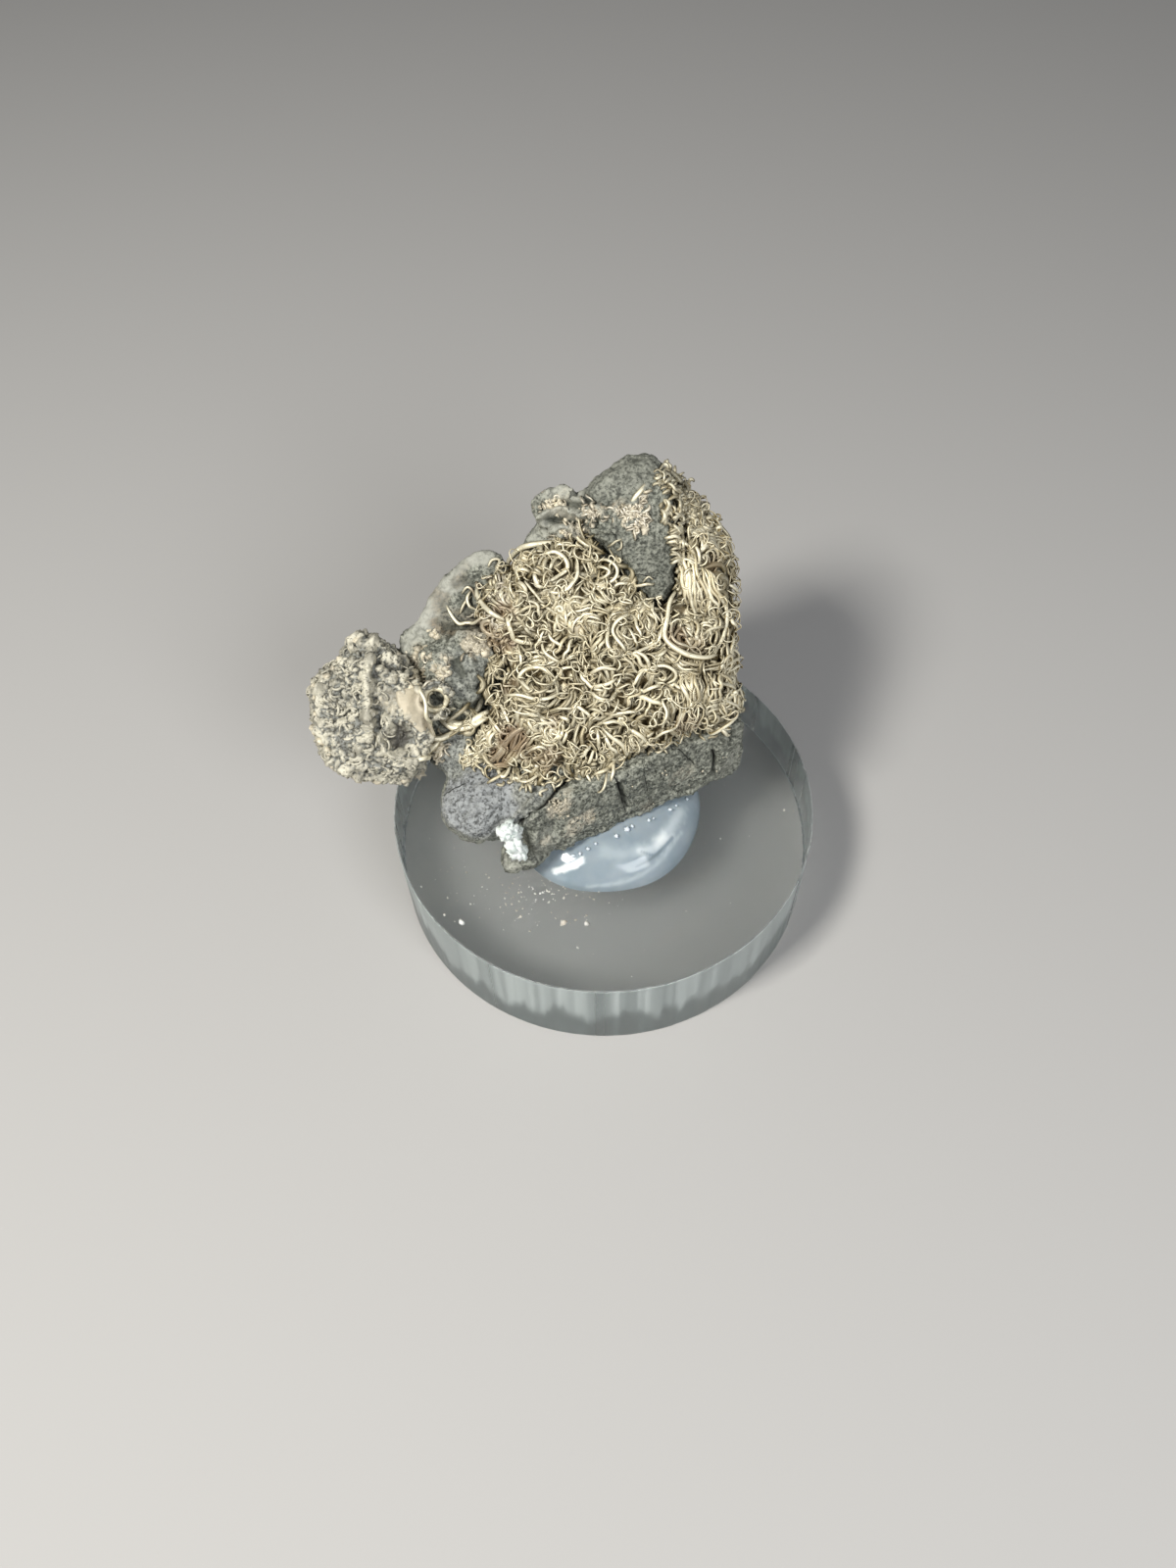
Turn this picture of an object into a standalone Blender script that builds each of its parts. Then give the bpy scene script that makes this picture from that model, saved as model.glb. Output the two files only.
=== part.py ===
"""Native silver specimen: curled wire silver on dark rock, held by putty on a clear round base.

Metres, +Z up. The origin is the middle of the base's underside. The camera side is -Y.
The rock leans back on the base like a thick plate, so most places are given in the plate's own
frame: a runs to the right, b up the slope and c straight out of the silver face.
"""

import math

import bmesh
import bpy
import numpy as np
from mathutils import Euler, Matrix, Vector

MM = 0.001
GAP = 0.30 * MM

# The clear base: one inch across and a quarter of an inch thick
BASE_RADIUS = 12.7 * MM
BASE_HEIGHT = 6.35 * MM
BASE_EDGE = 0.18 * MM
BASE_SIDES = 64

# The putty: a round dome pressed flat by the rock
PUTTY_CENTRE = Vector((0.15, -0.95, 0.0)) * MM
PUTTY_RADIUS = 5.55 * MM
PUTTY_HEIGHT = 2.3 * MM
PUTTY_RINGS = 9
PUTTY_SIDES = 40
PUTTY_TRIANGLES = 560

# The plate frame: where the middle of the silver face is, and how far it leans back
FACE_MIDDLE = Vector((0.3, 1.6, 17.0)) * MM
FACE_LEAN = math.radians(40)
PLATE = Matrix.Translation(FACE_MIDDLE) @ Matrix.Rotation(FACE_LEAN, 4, "X")

ROCK_COLOUR = (0.115, 0.118, 0.120)
SILVER_COLOUR = (0.80, 0.74, 0.60)
CRUST_COLOUR = (0.56, 0.53, 0.45)
CRYSTAL_COLOUR = (0.90, 0.93, 0.90)
PUTTY_COLOUR = (0.72, 0.78, 0.86)
ACRYLIC_COLOUR = (0.93, 0.95, 0.95)

# How far a swollen copy stands off, in gaps, so that its cut still leaves a gap where it is faceted
ROCK_CLEARANCE = 1.35 * GAP
NEST_CLEARANCE = 1.2 * GAP

# A slab's top: the width left on its flat top and halfway down its rounding, as shares, and how
# far down the rounding that halfway ring lies
SLAB_TOP_SHARE = 0.62
SLAB_SHOULDER_SHARE = 0.88
SLAB_SHOULDER_DROP = 0.28

# Each slab of rock: its outline as (a, b) in mm, then its top and bottom c, how deep the
# rounding of its top edge goes and how much of its width is left at the bottom
ROCK_SLABS = (
    ("face plate", (
        (6.3, -2.4), (6.3, 0.4), (6.3, 3.8), (6.2, 6.4), (5.2, 8.1), (3.9, 9.7), (1.8, 10.2),
        (-0.6, 8.6), (-2.6, 7.2), (-5.0, 5.6), (-6.7, 4.3), (-7.3, 2.4), (-7.2, -0.5),
        (-7.6, -2.8), (-7.4, -4.8), (-5.2, -5.7), (-2.2, -5.6), (1.2, -4.9), (4.6, -4.0),
    ), -1.25, -7.4, 1.2, 0.72),
    ("apron", (
        (-11.5, 1.6), (-10.5, 2.7), (-9.7, 4.1), (-8.8, 5.2), (-7.9, 6.0), (-6.9, 6.6),
        (-5.9, 6.5), (-4.9, 4.9), (-5.6, 1.6), (-8.7, 0.3), (-10.4, 0.0), (-11.6, 0.7),
    ), -1.1, -2.6, 0.5, 0.9),
    ("top block", (
        (-1.7, 9.0), (-0.8, 9.7), (-0.3, 10.3), (0.6, 10.9), (1.9, 11.3), (2.7, 11.1),
        (3.2, 10.4), (3.5, 9.0), (3.8, 6.1), (3.8, 4.2), (2.8, 3.4), (1.6, 3.9), (0.8, 5.2),
        (0.0, 6.4), (-1.0, 6.9), (-1.6, 8.0),
    ), 1.35, -3.6, 1.1, 0.95),
    ("bump", (
        (-4.0, 8.7), (-3.5, 9.3), (-2.7, 9.7), (-2.0, 9.3), (-1.0, 9.1), (-0.2, 8.4),
        (-0.2, 7.1), (-1.5, 6.7), (-3.1, 7.0), (-3.8, 7.8),
    ), -0.1, -2.8, 0.7, 0.8),
    ("bump ledge", (
        (-4.7, 7.0), (-4.3, 7.4), (-3.5, 7.9), (-2.2, 7.6), (-2.4, 6.2), (-4.6, 5.8),
    ), -1.0, -3.4, 0.5, 0.9),
    ("dark patch", (
        (-9.8, -1.0), (-10.4, 0.4), (-9.5, 1.3), (-8.5, 1.7), (-7.4, 2.1), (-6.3, 1.2),
        (-6.3, -0.5), (-7.1, -2.1), (-8.4, -2.3),
    ), 0.35, -4.4, 0.8, 0.9),
    ("left foot", (
        (-10.4, -5.2), (-10.2, -2.6), (-7.6, -2.2), (-6.2, -3.0), (-6.2, -6.0), (-8.6, -6.0),
    ), -0.8, -4.2, 0.7, 0.8),
)

# The front slab, a split block: middle and half sizes in mm, and turn in degrees
FRONT_SLAB = ((0.16, 1.45, 10.62), (6.75, 4.45, 2.38), (-3, -1.5, 26))

# Each lump of rock: middle and half sizes in mm, turn in degrees, how square it is, how rough,
# and whether the numbers are in the plate frame or in the upright one.
ROCK_LUMPS = (
    ("slab right end", (6.0, 1.5, 10.9), (1.6, 2.1, 2.1), (0, 0, 38), 3.6, 0.05, False),
    ("corner flake", (-4.75, -5.3, 8.4), (1.35, 1.0, 0.6), (0, 8, 20), 3.0, 0.08, False),
    ("lower left lobe", (-6.1, -3.0, 10.9), (3.0, 2.2, 1.9), (18, 6, 14), 2.8, 0.04, False),
    ("back", (1.2, 3.4, -5.6), (4.2, 4.6, 3.4), (0, 0, 12), 3.0, 0.08, True),
    ("neck under the knob", (-9.8, -2.0, -2.9), (2.6, 2.6, 1.4), (0, 0, 0), 2.6, 0.08, True),
)
ROCK_VOXEL = 0.26 * MM
ROCK_TRIANGLES = 2600
ROCK_SEED = 2
COARSE_RELIEF = 0.13 * MM
COARSE_WAVE = 1.6 * MM
FINE_RELIEF = 0.07 * MM
FINE_WAVE = 0.7 * MM

# The nest of wire: its outline round a middle point, as (a, b) in mm, anticlockwise from the right
NEST_MIDDLE = (0.4, 0.8)
NEST_OUTLINE = (
    (6.95, 0.6), (6.95, 3.6), (6.9, 6.1), (6.2, 7.3), (5.4, 8.6), (4.3, 9.9), (3.3, 10.4),
    (1.6, 8.6), (-0.9, 6.9), (-2.9, 6.9), (-4.4, 6.4), (-5.7, 5.8), (-7.4, 4.6), (-8.0, 3.2),
    (-7.2, 1.9), (-6.3, 0.8), (-6.1, -0.6), (-6.7, -2.2), (-7.7, -3.4), (-7.9, -5.0),
    (-6.5, -6.1), (-4.9, -6.5), (-2.5, -6.4), (0.0, -6.1), (1.2, -5.5), (2.6, -4.6),
    (4.6, -3.9), (7.2, -3.4), (7.2, -1.5),
)
NEST_TOP = 0.65 * MM
NEST_SPAN = 3.0 * MM
NEST_DEPTH = 4.2 * MM
NEST_SQUARENESS = 5
NEST_FOOT_SHARE = 0.86
HOLLOW_DEPTH = 0.45 * MM
HOLLOWS_PER_MM = 0.34
NEST_RINGS = 14
NEST_SPOKES = 72
NEST_VOXEL = 0.24 * MM
NEST_TRIANGLES = 4300

# The thick curls of silver that show from a step away: middle (a, b), radius, start and sweep
# in degrees, squash and turn of the loop, and half the thickness, all lengths in mm
NAMED_CURLS = (
    ((5.0, 1.9), 1.60, 160, 220, 1.15, 0, 0.36),
    ((-2.6, 5.2), 1.30, 20, 330, 0.70, -25, 0.30),
    ((-2.7, 5.5), 2.20, 15, 170, 0.60, -8, 0.30),
    ((0.9, 2.0), 1.40, 60, 250, 1.35, 25, 0.32),
    ((2.3, 2.2), 1.50, 70, 230, 1.30, 15, 0.32),
    ((-3.4, -1.2), 1.70, 150, 240, 0.60, 10, 0.34),
    ((3.3, -0.8), 1.00, 30, 300, 0.90, 0, 0.28),
    ((1.7, -4.1), 1.20, 200, 260, 1.50, 35, 0.30),
    ((-0.9, -4.3), 1.10, 300, 230, 1.40, -30, 0.30),
    ((-6.6, 3.6), 1.00, 200, 240, 0.90, 20, 0.28),
)
BUNDLE_FOOT = (5.0, 3.0)
BUNDLE_HEAD = (4.6, 6.6)
BUNDLE_COUNT = 5
BUNDLE_STEP = 0.62
BUNDLE_LIFT = 0.20 * MM
BUNDLE_RADIUS = 0.33 * MM
LOOSE_CURLS = 38
LOOSE_REACH = 0.86
LOOSE_SEED = 11
CURL_STEPS = 15
CURL_SIDES = 5

# The crusted knob on the left
KNOB_SLABS = (
    ("knob", (
        (-10.6, -6.3), (-12.0, -6.4), (-13.5, -6.3), (-15.1, -6.0), (-16.0, -5.1),
        (-16.2, -3.9), (-16.5, -3.0), (-16.3, -1.9), (-16.5, -1.0), (-15.7, 0.0),
        (-14.8, 0.7), (-14.3, 1.5), (-13.4, 1.9), (-12.5, 1.6), (-11.8, 1.3), (-11.0, 0.7),
        (-10.5, -0.3), (-9.6, -1.1), (-9.2, -3.4), (-9.7, -4.9),
    ), 0.9, -4.6, 2.4, 0.55),
)
KNOB_LUMPS = (
    ("ridge band", (-13.1, -2.0, 0.55), (0.6, 3.3, 0.75), (0, 0, -3), 2.4, 0.10, True),
    ("crest", (-13.4, 0.9, -0.5), (1.0, 0.8, 1.0), (0, 0, -20), 2.4, 0.12, True),
    ("cup rim right", (-10.3, -2.9, 0.35), (0.45, 1.6, 0.8), (0, 0, 20), 2.4, 0.10, True),
    ("cup rim low", (-11.2, -5.1, 0.2), (1.4, 0.5, 0.7), (0, 0, 8), 2.4, 0.10, True),
)
KNOB_VOXEL = 0.26 * MM
KNOB_TRIANGLES = 1300
KNOB_SEED = 8
RING_MIDDLE = (-9.2, -1.65)
RING_RADIUS = 0.85
RING_LEVEL = 1.15
RING_STEPS = 21
RING_WIRE = 0.30 * MM

# The white crystals at the slab's left end: middle, size in mm and turn in degrees
CRYSTALS = (
    ((-5.40, -5.30, 11.45), (0.60, 0.55, 0.62), (10, 25, 15)),
    ((-4.95, -5.25, 10.80), (0.66, 0.70, 0.62), (35, -10, 50)),
    ((-4.60, -5.40, 10.20), (0.60, 0.60, 0.66), (-20, 30, -25)),
    ((-5.25, -5.65, 10.55), (0.58, 0.56, 0.60), (15, 40, 70)),
    ((-4.95, -5.00, 11.40), (0.54, 0.52, 0.56), (50, 15, -10)),
    ((-5.00, -5.75, 10.05), (0.50, 0.54, 0.50), (-30, -20, 35)),
)
CRYSTAL_GROWTH = 1.6
RHOMB_SHEAR = 0.32


def clear_scene():
    """Empties the file it runs in."""
    for old in list(bpy.data.objects):
        bpy.data.objects.remove(old)


def material(name, colour, roughness, metallic=0.0):
    """A Principled BSDF of one colour."""
    made = bpy.data.materials.new(name)
    made.use_nodes = True
    shader = made.node_tree.nodes["Principled BSDF"]
    shader.inputs["Base Color"].default_value = (*colour, 1.0)
    shader.inputs["Roughness"].default_value = roughness
    shader.inputs["Metallic"].default_value = metallic
    return made


def object_from(name, bm, finish=None, smooth=False):
    """Puts a bmesh into a new object in the scene and frees it."""
    mesh = bpy.data.meshes.new(name)
    bmesh.ops.recalc_face_normals(bm, faces=bm.faces)
    bm.to_mesh(mesh)
    bm.free()
    if smooth:
        mesh.shade_smooth()
    made = bpy.data.objects.new(name, mesh)
    bpy.context.scene.collection.objects.link(made)
    if finish:
        mesh.materials.append(finish)
    return made


def add_surface(bm, points, closed_round=True, caps=True):
    """Adds a grid of points (rings x sides x 3) to a bmesh as quads, with its end rings filled."""
    rings, sides = points.shape[:2]
    verts = [[bm.verts.new(p) for p in ring] for ring in points]
    for lower, upper in zip(verts, verts[1:]):
        for k in range(sides if closed_round else sides - 1):
            after = (k + 1) % sides
            bm.faces.new((lower[k], lower[after], upper[after], upper[k]))
    if caps:
        bm.faces.new(verts[0][::-1])
        bm.faces.new(verts[-1])


def hashed(cells, seed):
    """A number from -1 to 1 for each whole-number cell, the same on every run."""
    mixed = cells @ np.array([127.1, 311.7, 74.7]) + seed * 19.19
    return 2 * np.modf(np.abs(np.sin(mixed)) * 43758.5453)[0] - 1


def smooth_noise(points, seed):
    """Value noise: the eight corners of each point's cell, blended by 3t^2 - 2t^3."""
    cell = np.floor(points)
    part = points - cell
    part = part * part * (3 - 2 * part)
    total = np.zeros(len(points))
    for corner in np.ndindex(2, 2, 2):
        weight = np.prod(np.where(corner, part, 1 - part), axis=1)
        total += weight * hashed(cell + corner, seed)
    return total


def rock_relief(directions, seed):
    """Low relief for a lump: broad facets and smaller pits, from two scales of noise."""
    broad = smooth_noise(directions * 1.9 + 7.3, seed)
    fine = smooth_noise(directions * 4.6 + 3.1, seed + 5)
    return np.sign(broad) * np.abs(broad) ** 0.7 + 0.5 * fine


def placed(middle, turn):
    """A turn in degrees, then a shift in mm."""
    turned = Euler([math.radians(angle) for angle in turn]).to_matrix().to_4x4()
    return Matrix.Translation(Vector(middle) * MM) @ turned


def add_block(bm, middle, sizes, turn, shear=None):
    """A box with sharp edges, from its half sizes in mm, sheared first if it is a crystal."""
    stretch = Matrix.Diagonal((*(2 * MM * Vector(sizes)), 1.0))
    place = placed(middle, turn) @ (shear or Matrix.Identity(4)) @ stretch
    bmesh.ops.create_cube(bm, size=1.0, matrix=place)


def add_lump(bm, row, seed):
    """A rounded block: radius = (|x/rx|^p + |y/ry|^p + |z/rz|^p)^(-1/p), times its relief."""
    _, middle, sizes, turn, power, rough, leaning = row
    ball = bmesh.ops.create_icosphere(bm, subdivisions=4, radius=1.0)["verts"]
    away = np.array([v.co for v in ball])
    away /= np.linalg.norm(away, axis=1)[:, None]
    radii = np.array(sizes) * MM
    reach = (np.abs(away / radii) ** power).sum(axis=1) ** (-1 / power)
    reach *= 1 + rough * rock_relief(away * radii / radii.mean(), seed)
    place = placed(middle, turn)
    if leaning:
        place = PLATE @ place
    for vert, point in zip(ball, away * reach[:, None]):
        vert.co = place @ Vector(point)


def rounded(outline):
    """Cuts an outline's corners twice, each time a quarter of the way along every edge."""
    points = np.array(outline)
    for _ in range(2):
        after = np.roll(points, -1, axis=0)
        points = np.stack([0.75 * points + 0.25 * after, 0.25 * points + 0.75 * after], axis=1)
        points = points.reshape(-1, 2)
    return points


def to_world(local):
    """Plate-frame points in metres, turned and moved to their place."""
    turn = np.array(PLATE.to_3x3())
    return local @ turn.T + np.array(PLATE.translation)


def add_slab(bm, row):
    """A slab with a rounded top edge: its outline shrunk in four rings from top to bottom."""
    _, outline, top, bottom, crown, taper = row
    edge = rounded(outline) * MM
    middle = edge.mean(axis=0)
    levels = (
        (SLAB_TOP_SHARE, top),
        (SLAB_SHOULDER_SHARE, top - SLAB_SHOULDER_DROP * crown),
        (1.0, top - crown),
        (taper, bottom),
    )
    rings = [
        np.column_stack([middle + share * (edge - middle), np.full(len(edge), level * MM)])
        for share, level in levels
    ]
    add_surface(bm, to_world(np.array(rings)))


def joined_mesh(slabs, lumps):
    """Slabs and lumps in one bmesh, still overlapping."""
    bm = bmesh.new()
    for row in slabs:
        add_slab(bm, row)
    for index, row in enumerate(lumps):
        add_lump(bm, row, seed=index + 1)
    return bm


def points_of(mesh, what="co"):
    """A mesh's vertex places or normals as an array."""
    flat = np.empty(3 * len(mesh.vertices))
    if what == "co":
        mesh.vertices.foreach_get("co", flat)
    else:
        mesh.vertex_normals.foreach_get("vector", flat)
    return flat.reshape(-1, 3)


def roughen(obj, seed):
    """Moves each vertex along its normal by two scales of noise."""
    points = points_of(obj.data)
    normals = points_of(obj.data, "normals")
    coarse = smooth_noise(points / COARSE_WAVE + 31, seed)
    fine = smooth_noise(points / FINE_WAVE + 57, seed + 1)
    points += normals * (COARSE_RELIEF * coarse + FINE_RELIEF * fine)[:, None]
    obj.data.vertices.foreach_set("co", points.ravel())
    obj.data.update()


def swell(obj, distance):
    """Moves each vertex outwards along its normal."""
    points = points_of(obj.data) + points_of(obj.data, "normals") * distance
    obj.data.vertices.foreach_set("co", points.ravel())
    obj.data.update()


def remesh(obj, voxel):
    """Melts overlapping shapes into one skin."""
    melted = obj.modifiers.new("melt together", "REMESH")
    melted.mode = "VOXEL"
    melted.voxel_size = voxel


def cut(obj, cutter):
    """Cuts a helper's shape out of an object."""
    boolean = obj.modifiers.new("clear of " + cutter.name, "BOOLEAN")
    boolean.operation = "DIFFERENCE"
    boolean.solver = "EXACT"
    boolean.object = cutter


def thin_out(obj, triangles):
    """Brings an object down to about so many triangles."""
    graph = bpy.context.evaluated_depsgraph_get()
    mesh = obj.evaluated_get(graph).to_mesh()
    mesh.calc_loop_triangles()
    count = len(mesh.loop_triangles)
    decimate = obj.modifiers.new("fewer faces", "DECIMATE")
    decimate.ratio = min(1.0, triangles / count)


def as_helper(obj):
    """Marks an object as a cutter, which isn't part of the specimen."""
    obj.hide_render = True
    obj.display_type = "WIRE"
    return obj


def settle(obj):
    """Applies an object's modifiers and keeps the largest of the bodies that they leave."""
    graph = bpy.context.evaluated_depsgraph_get()
    mesh = bpy.data.meshes.new_from_object(obj.evaluated_get(graph))
    bm = bmesh.new()
    bm.from_mesh(mesh)
    bodies = []
    unseen = set(bm.verts)
    while unseen:
        start = unseen.pop()
        body, edge_of_body = {start}, [start]
        while edge_of_body:
            near = {e.other_vert(v) for v in edge_of_body for e in v.link_edges} & unseen
            unseen -= near
            body |= near
            edge_of_body = list(near)
        bodies.append(body)
    bodies.sort(key=len)
    for body in bodies[:-1]:
        bmesh.ops.delete(bm, geom=list(body), context="VERTS")
    bm.to_mesh(mesh)
    bm.free()
    obj.modifiers.clear()
    obj.data = mesh


def build_base():
    """The clear disc, a turned profile with a small broken edge."""
    profile = (
        (BASE_RADIUS - BASE_EDGE, 0.0),
        (BASE_RADIUS, BASE_EDGE),
        (BASE_RADIUS, BASE_HEIGHT - BASE_EDGE),
        (BASE_RADIUS - BASE_EDGE, BASE_HEIGHT),
    )
    angles = np.linspace(0, 2 * math.pi, BASE_SIDES, endpoint=False)
    rings = np.array([
        np.stack([r * np.cos(angles), r * np.sin(angles), np.full(BASE_SIDES, z)], axis=1)
        for r, z in profile
    ])
    bm = bmesh.new()
    add_surface(bm, rings)
    finish = material("clear acrylic", ACRYLIC_COLOUR, 0.08)
    made = object_from("acrylic_base", bm, finish, smooth=True)
    made.data.set_sharp_from_angle(angle=math.radians(30))
    return made


def build_putty(clearance):
    """A dome, height = H * sqrt(1 - (r/R)^2), cut where the rock presses into it."""
    shares = np.sin(np.linspace(math.pi / 2, 0.12, PUTTY_RINGS))
    angles = np.linspace(0, 2 * math.pi, PUTTY_SIDES, endpoint=False)
    floor = BASE_HEIGHT + GAP
    rings = []
    for share in shares:
        radius = PUTTY_RADIUS * share * (1 + 0.025 * np.sin(2 * angles + 0.6))
        height = PUTTY_HEIGHT * math.sqrt(max(0.0, 1 - share**2))
        flat = np.full(PUTTY_SIDES, floor + height)
        rings.append(np.stack([radius * np.cos(angles), radius * np.sin(angles), flat], axis=1))
    bm = bmesh.new()
    add_surface(bm, np.array(rings) + np.array([*PUTTY_CENTRE.xy, 0.0]))
    made = object_from("mounting_putty", bm, material("putty", PUTTY_COLOUR, 0.15), smooth=True)
    cut(made, clearance)
    settle(made)
    thin_out(made, PUTTY_TRIANGLES)
    settle(made)


def build_rock():
    """The dark matrix, one body of rock, and a swollen copy that its neighbours are cut with."""
    bm = joined_mesh(ROCK_SLABS, ROCK_LUMPS)
    add_block(bm, *FRONT_SLAB)
    made = object_from("matrix_rock", bm, material("dark rock", ROCK_COLOUR, 0.7))
    remesh(made, ROCK_VOXEL)
    settle(made)
    roughen(made, ROCK_SEED)
    clearance = bpy.data.objects.new("rock_clearance", made.data.copy())
    bpy.context.scene.collection.objects.link(clearance)
    swell(clearance, ROCK_CLEARANCE)
    remesh(clearance, ROCK_VOXEL)
    settle(clearance)
    thin_out(clearance, 3 * ROCK_TRIANGLES)
    settle(clearance)
    thin_out(made, ROCK_TRIANGLES)
    settle(made)
    return as_helper(clearance)


def nest_edge(angles):
    """The nest's radius at each angle round its middle, in mm, joined smoothly."""
    corners = np.array(NEST_OUTLINE) - np.array(NEST_MIDDLE)
    around = np.arctan2(corners[:, 1], corners[:, 0])
    order = np.argsort(around)
    radii = np.linalg.norm(corners, axis=1)[order]
    return np.interp(angles, around[order], radii, period=2 * math.pi)


def nest_height(a, b):
    """How far the nest stands out of the plate at (a, b) mm: a cushion with soft hollows."""
    da, db = a - NEST_MIDDLE[0], b - NEST_MIDDLE[1]
    share = np.hypot(da, db) / nest_edge(np.arctan2(db, da))
    cushion = np.sqrt(np.clip(1 - np.minimum(share, 1.0) ** NEST_SQUARENESS, 0, 1))
    plane = HOLLOWS_PER_MM * np.stack([a, b, np.zeros_like(a)], axis=-1).reshape(-1, 3)
    hollows = smooth_noise(plane + 4.7, 3).reshape(np.shape(a))
    return NEST_TOP - NEST_SPAN * (1 - cushion) + HOLLOW_DEPTH * hollows * cushion


def nest_points(a, b, lift=0.0):
    """Points of the nest's skin in metres, at (a, b) mm in the plate frame."""
    return to_world(np.stack([a * MM, b * MM, nest_height(a, b) + lift], axis=-1))


def add_nest_body(bm):
    """The nest's cushion: rings from its middle to its edge, closed below by a sunken copy."""
    shares = np.linspace(0.04, 1.0, NEST_RINGS) ** 0.8
    angles = np.linspace(-math.pi, math.pi, NEST_SPOKES, endpoint=False)
    reach = nest_edge(angles)
    a = NEST_MIDDLE[0] + shares[:, None] * reach * np.cos(angles)
    b = NEST_MIDDLE[1] + shares[:, None] * reach * np.sin(angles)
    top = nest_points(a, b)
    inward = np.array(PLATE.to_3x3() @ Vector((0, 0, -1)))
    middle = top[0].mean(axis=0)
    sunk = middle + NEST_FOOT_SHARE * (top[::-1] - middle) + inward * NEST_DEPTH
    add_surface(bm, np.concatenate([top, sunk]))


def add_rope(bm, path, radius):
    """A round bar along a path, thinner at both ends, its profile square to the path."""
    along = np.gradient(path, axis=0)
    along /= np.linalg.norm(along, axis=1)[:, None]
    out = np.array(PLATE.to_3x3() @ Vector((0, 0, 1)))
    side = np.cross(along, out)
    side /= np.linalg.norm(side, axis=1)[:, None]
    up = np.cross(side, along)
    share = np.linspace(0, 1, len(path))
    thick = radius * (0.55 + 0.45 * np.sin(math.pi * share))[:, None, None]
    angles = np.linspace(0, 2 * math.pi, CURL_SIDES, endpoint=False)[None, :, None]
    ring = np.cos(angles) * side[:, None] + np.sin(angles) * up[:, None]
    add_surface(bm, path[:, None] + thick * ring)


def add_curl(bm, middle, radius, start, sweep, squash, turn, thick):
    """Part of a loop lying on the nest: an arc of an ellipse, its ends dipping under the skin."""
    angles = np.radians(start + np.linspace(0, sweep, CURL_STEPS))
    x, y = radius * np.cos(angles), radius * squash * np.sin(angles)
    cosine, sine = math.cos(math.radians(turn)), math.sin(math.radians(turn))
    a = middle[0] + cosine * x - sine * y
    b = middle[1] + sine * x + cosine * y
    dip = 0.85 - 1.3 * np.abs(np.linspace(-1, 1, CURL_STEPS)) ** 4
    add_rope(bm, nest_points(a, b, dip * thick * MM), thick * MM)


def add_bundle(bm):
    """The combed strands on the right flank, side by side from head to foot."""
    share = np.linspace(0, 1, CURL_STEPS)
    for k in range(BUNDLE_COUNT):
        offset = BUNDLE_STEP * (k - (BUNDLE_COUNT - 1) / 2)
        spread = offset * (0.6 + 0.7 * share)
        a = BUNDLE_HEAD[0] + (BUNDLE_FOOT[0] - BUNDLE_HEAD[0]) * share + spread
        b = BUNDLE_HEAD[1] + (BUNDLE_FOOT[1] - BUNDLE_HEAD[1]) * share
        add_rope(bm, nest_points(a, b, BUNDLE_LIFT), BUNDLE_RADIUS)


def add_loose_curls(bm):
    """Curls strewn evenly over the nest on a golden-angle spiral, each with its own bend."""
    chance = np.random.default_rng(LOOSE_SEED)
    golden = math.pi * (3 - math.sqrt(5))
    for k in range(LOOSE_CURLS):
        angle = (k * golden) % (2 * math.pi)
        share = LOOSE_REACH * math.sqrt((k + 0.5) / LOOSE_CURLS)
        reach = share * float(nest_edge(np.array([angle - math.pi]))[0])
        middle = (
            NEST_MIDDLE[0] - reach * math.cos(angle),
            NEST_MIDDLE[1] - reach * math.sin(angle),
        )
        add_curl(
            bm, middle, chance.uniform(0.7, 1.5), chance.uniform(0, 360),
            chance.uniform(110, 260), chance.uniform(0.6, 1.4), chance.uniform(0, 180),
            chance.uniform(0.26, 0.34),
        )


def build_nest(clearance):
    """The wire silver as one body: a cushion with its thick curls standing out of it."""
    bm = bmesh.new()
    add_nest_body(bm)
    for row in NAMED_CURLS:
        add_curl(bm, *row)
    add_bundle(bm)
    add_loose_curls(bm)
    finish = material("wire silver", SILVER_COLOUR, 0.35, metallic=1.0)
    made = object_from("silver_wire_nest", bm, finish)
    remesh(made, NEST_VOXEL)
    cut(made, clearance)
    settle(made)
    whole = bpy.data.objects.new("nest_clearance", made.data.copy())
    bpy.context.scene.collection.objects.link(whole)
    thin_out(made, NEST_TRIANGLES)
    settle(made)
    swell(whole, NEST_CLEARANCE)
    remesh(whole, NEST_VOXEL)
    settle(whole)
    return as_helper(whole)


def build_knob(cutters):
    """The lump crusted with silver at the left, with the ring of wire that leans on it."""
    bm = joined_mesh(KNOB_SLABS, KNOB_LUMPS)
    angles = np.linspace(0, 2 * math.pi, RING_STEPS)
    a = RING_MIDDLE[0] + RING_RADIUS * np.cos(angles)
    b = RING_MIDDLE[1] + RING_RADIUS * np.sin(angles)
    path = to_world(np.stack([a, b, np.full(RING_STEPS, RING_LEVEL)], axis=-1) * MM)
    add_rope(bm, path, RING_WIRE)
    finish = material("silver crust", CRUST_COLOUR, 0.5, metallic=0.6)
    made = object_from("silver_crust_knob", bm, finish)
    remesh(made, KNOB_VOXEL)
    settle(made)
    roughen(made, KNOB_SEED)
    for cutter in cutters:
        cut(made, cutter)
    settle(made)
    thin_out(made, KNOB_TRIANGLES)
    settle(made)


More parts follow.
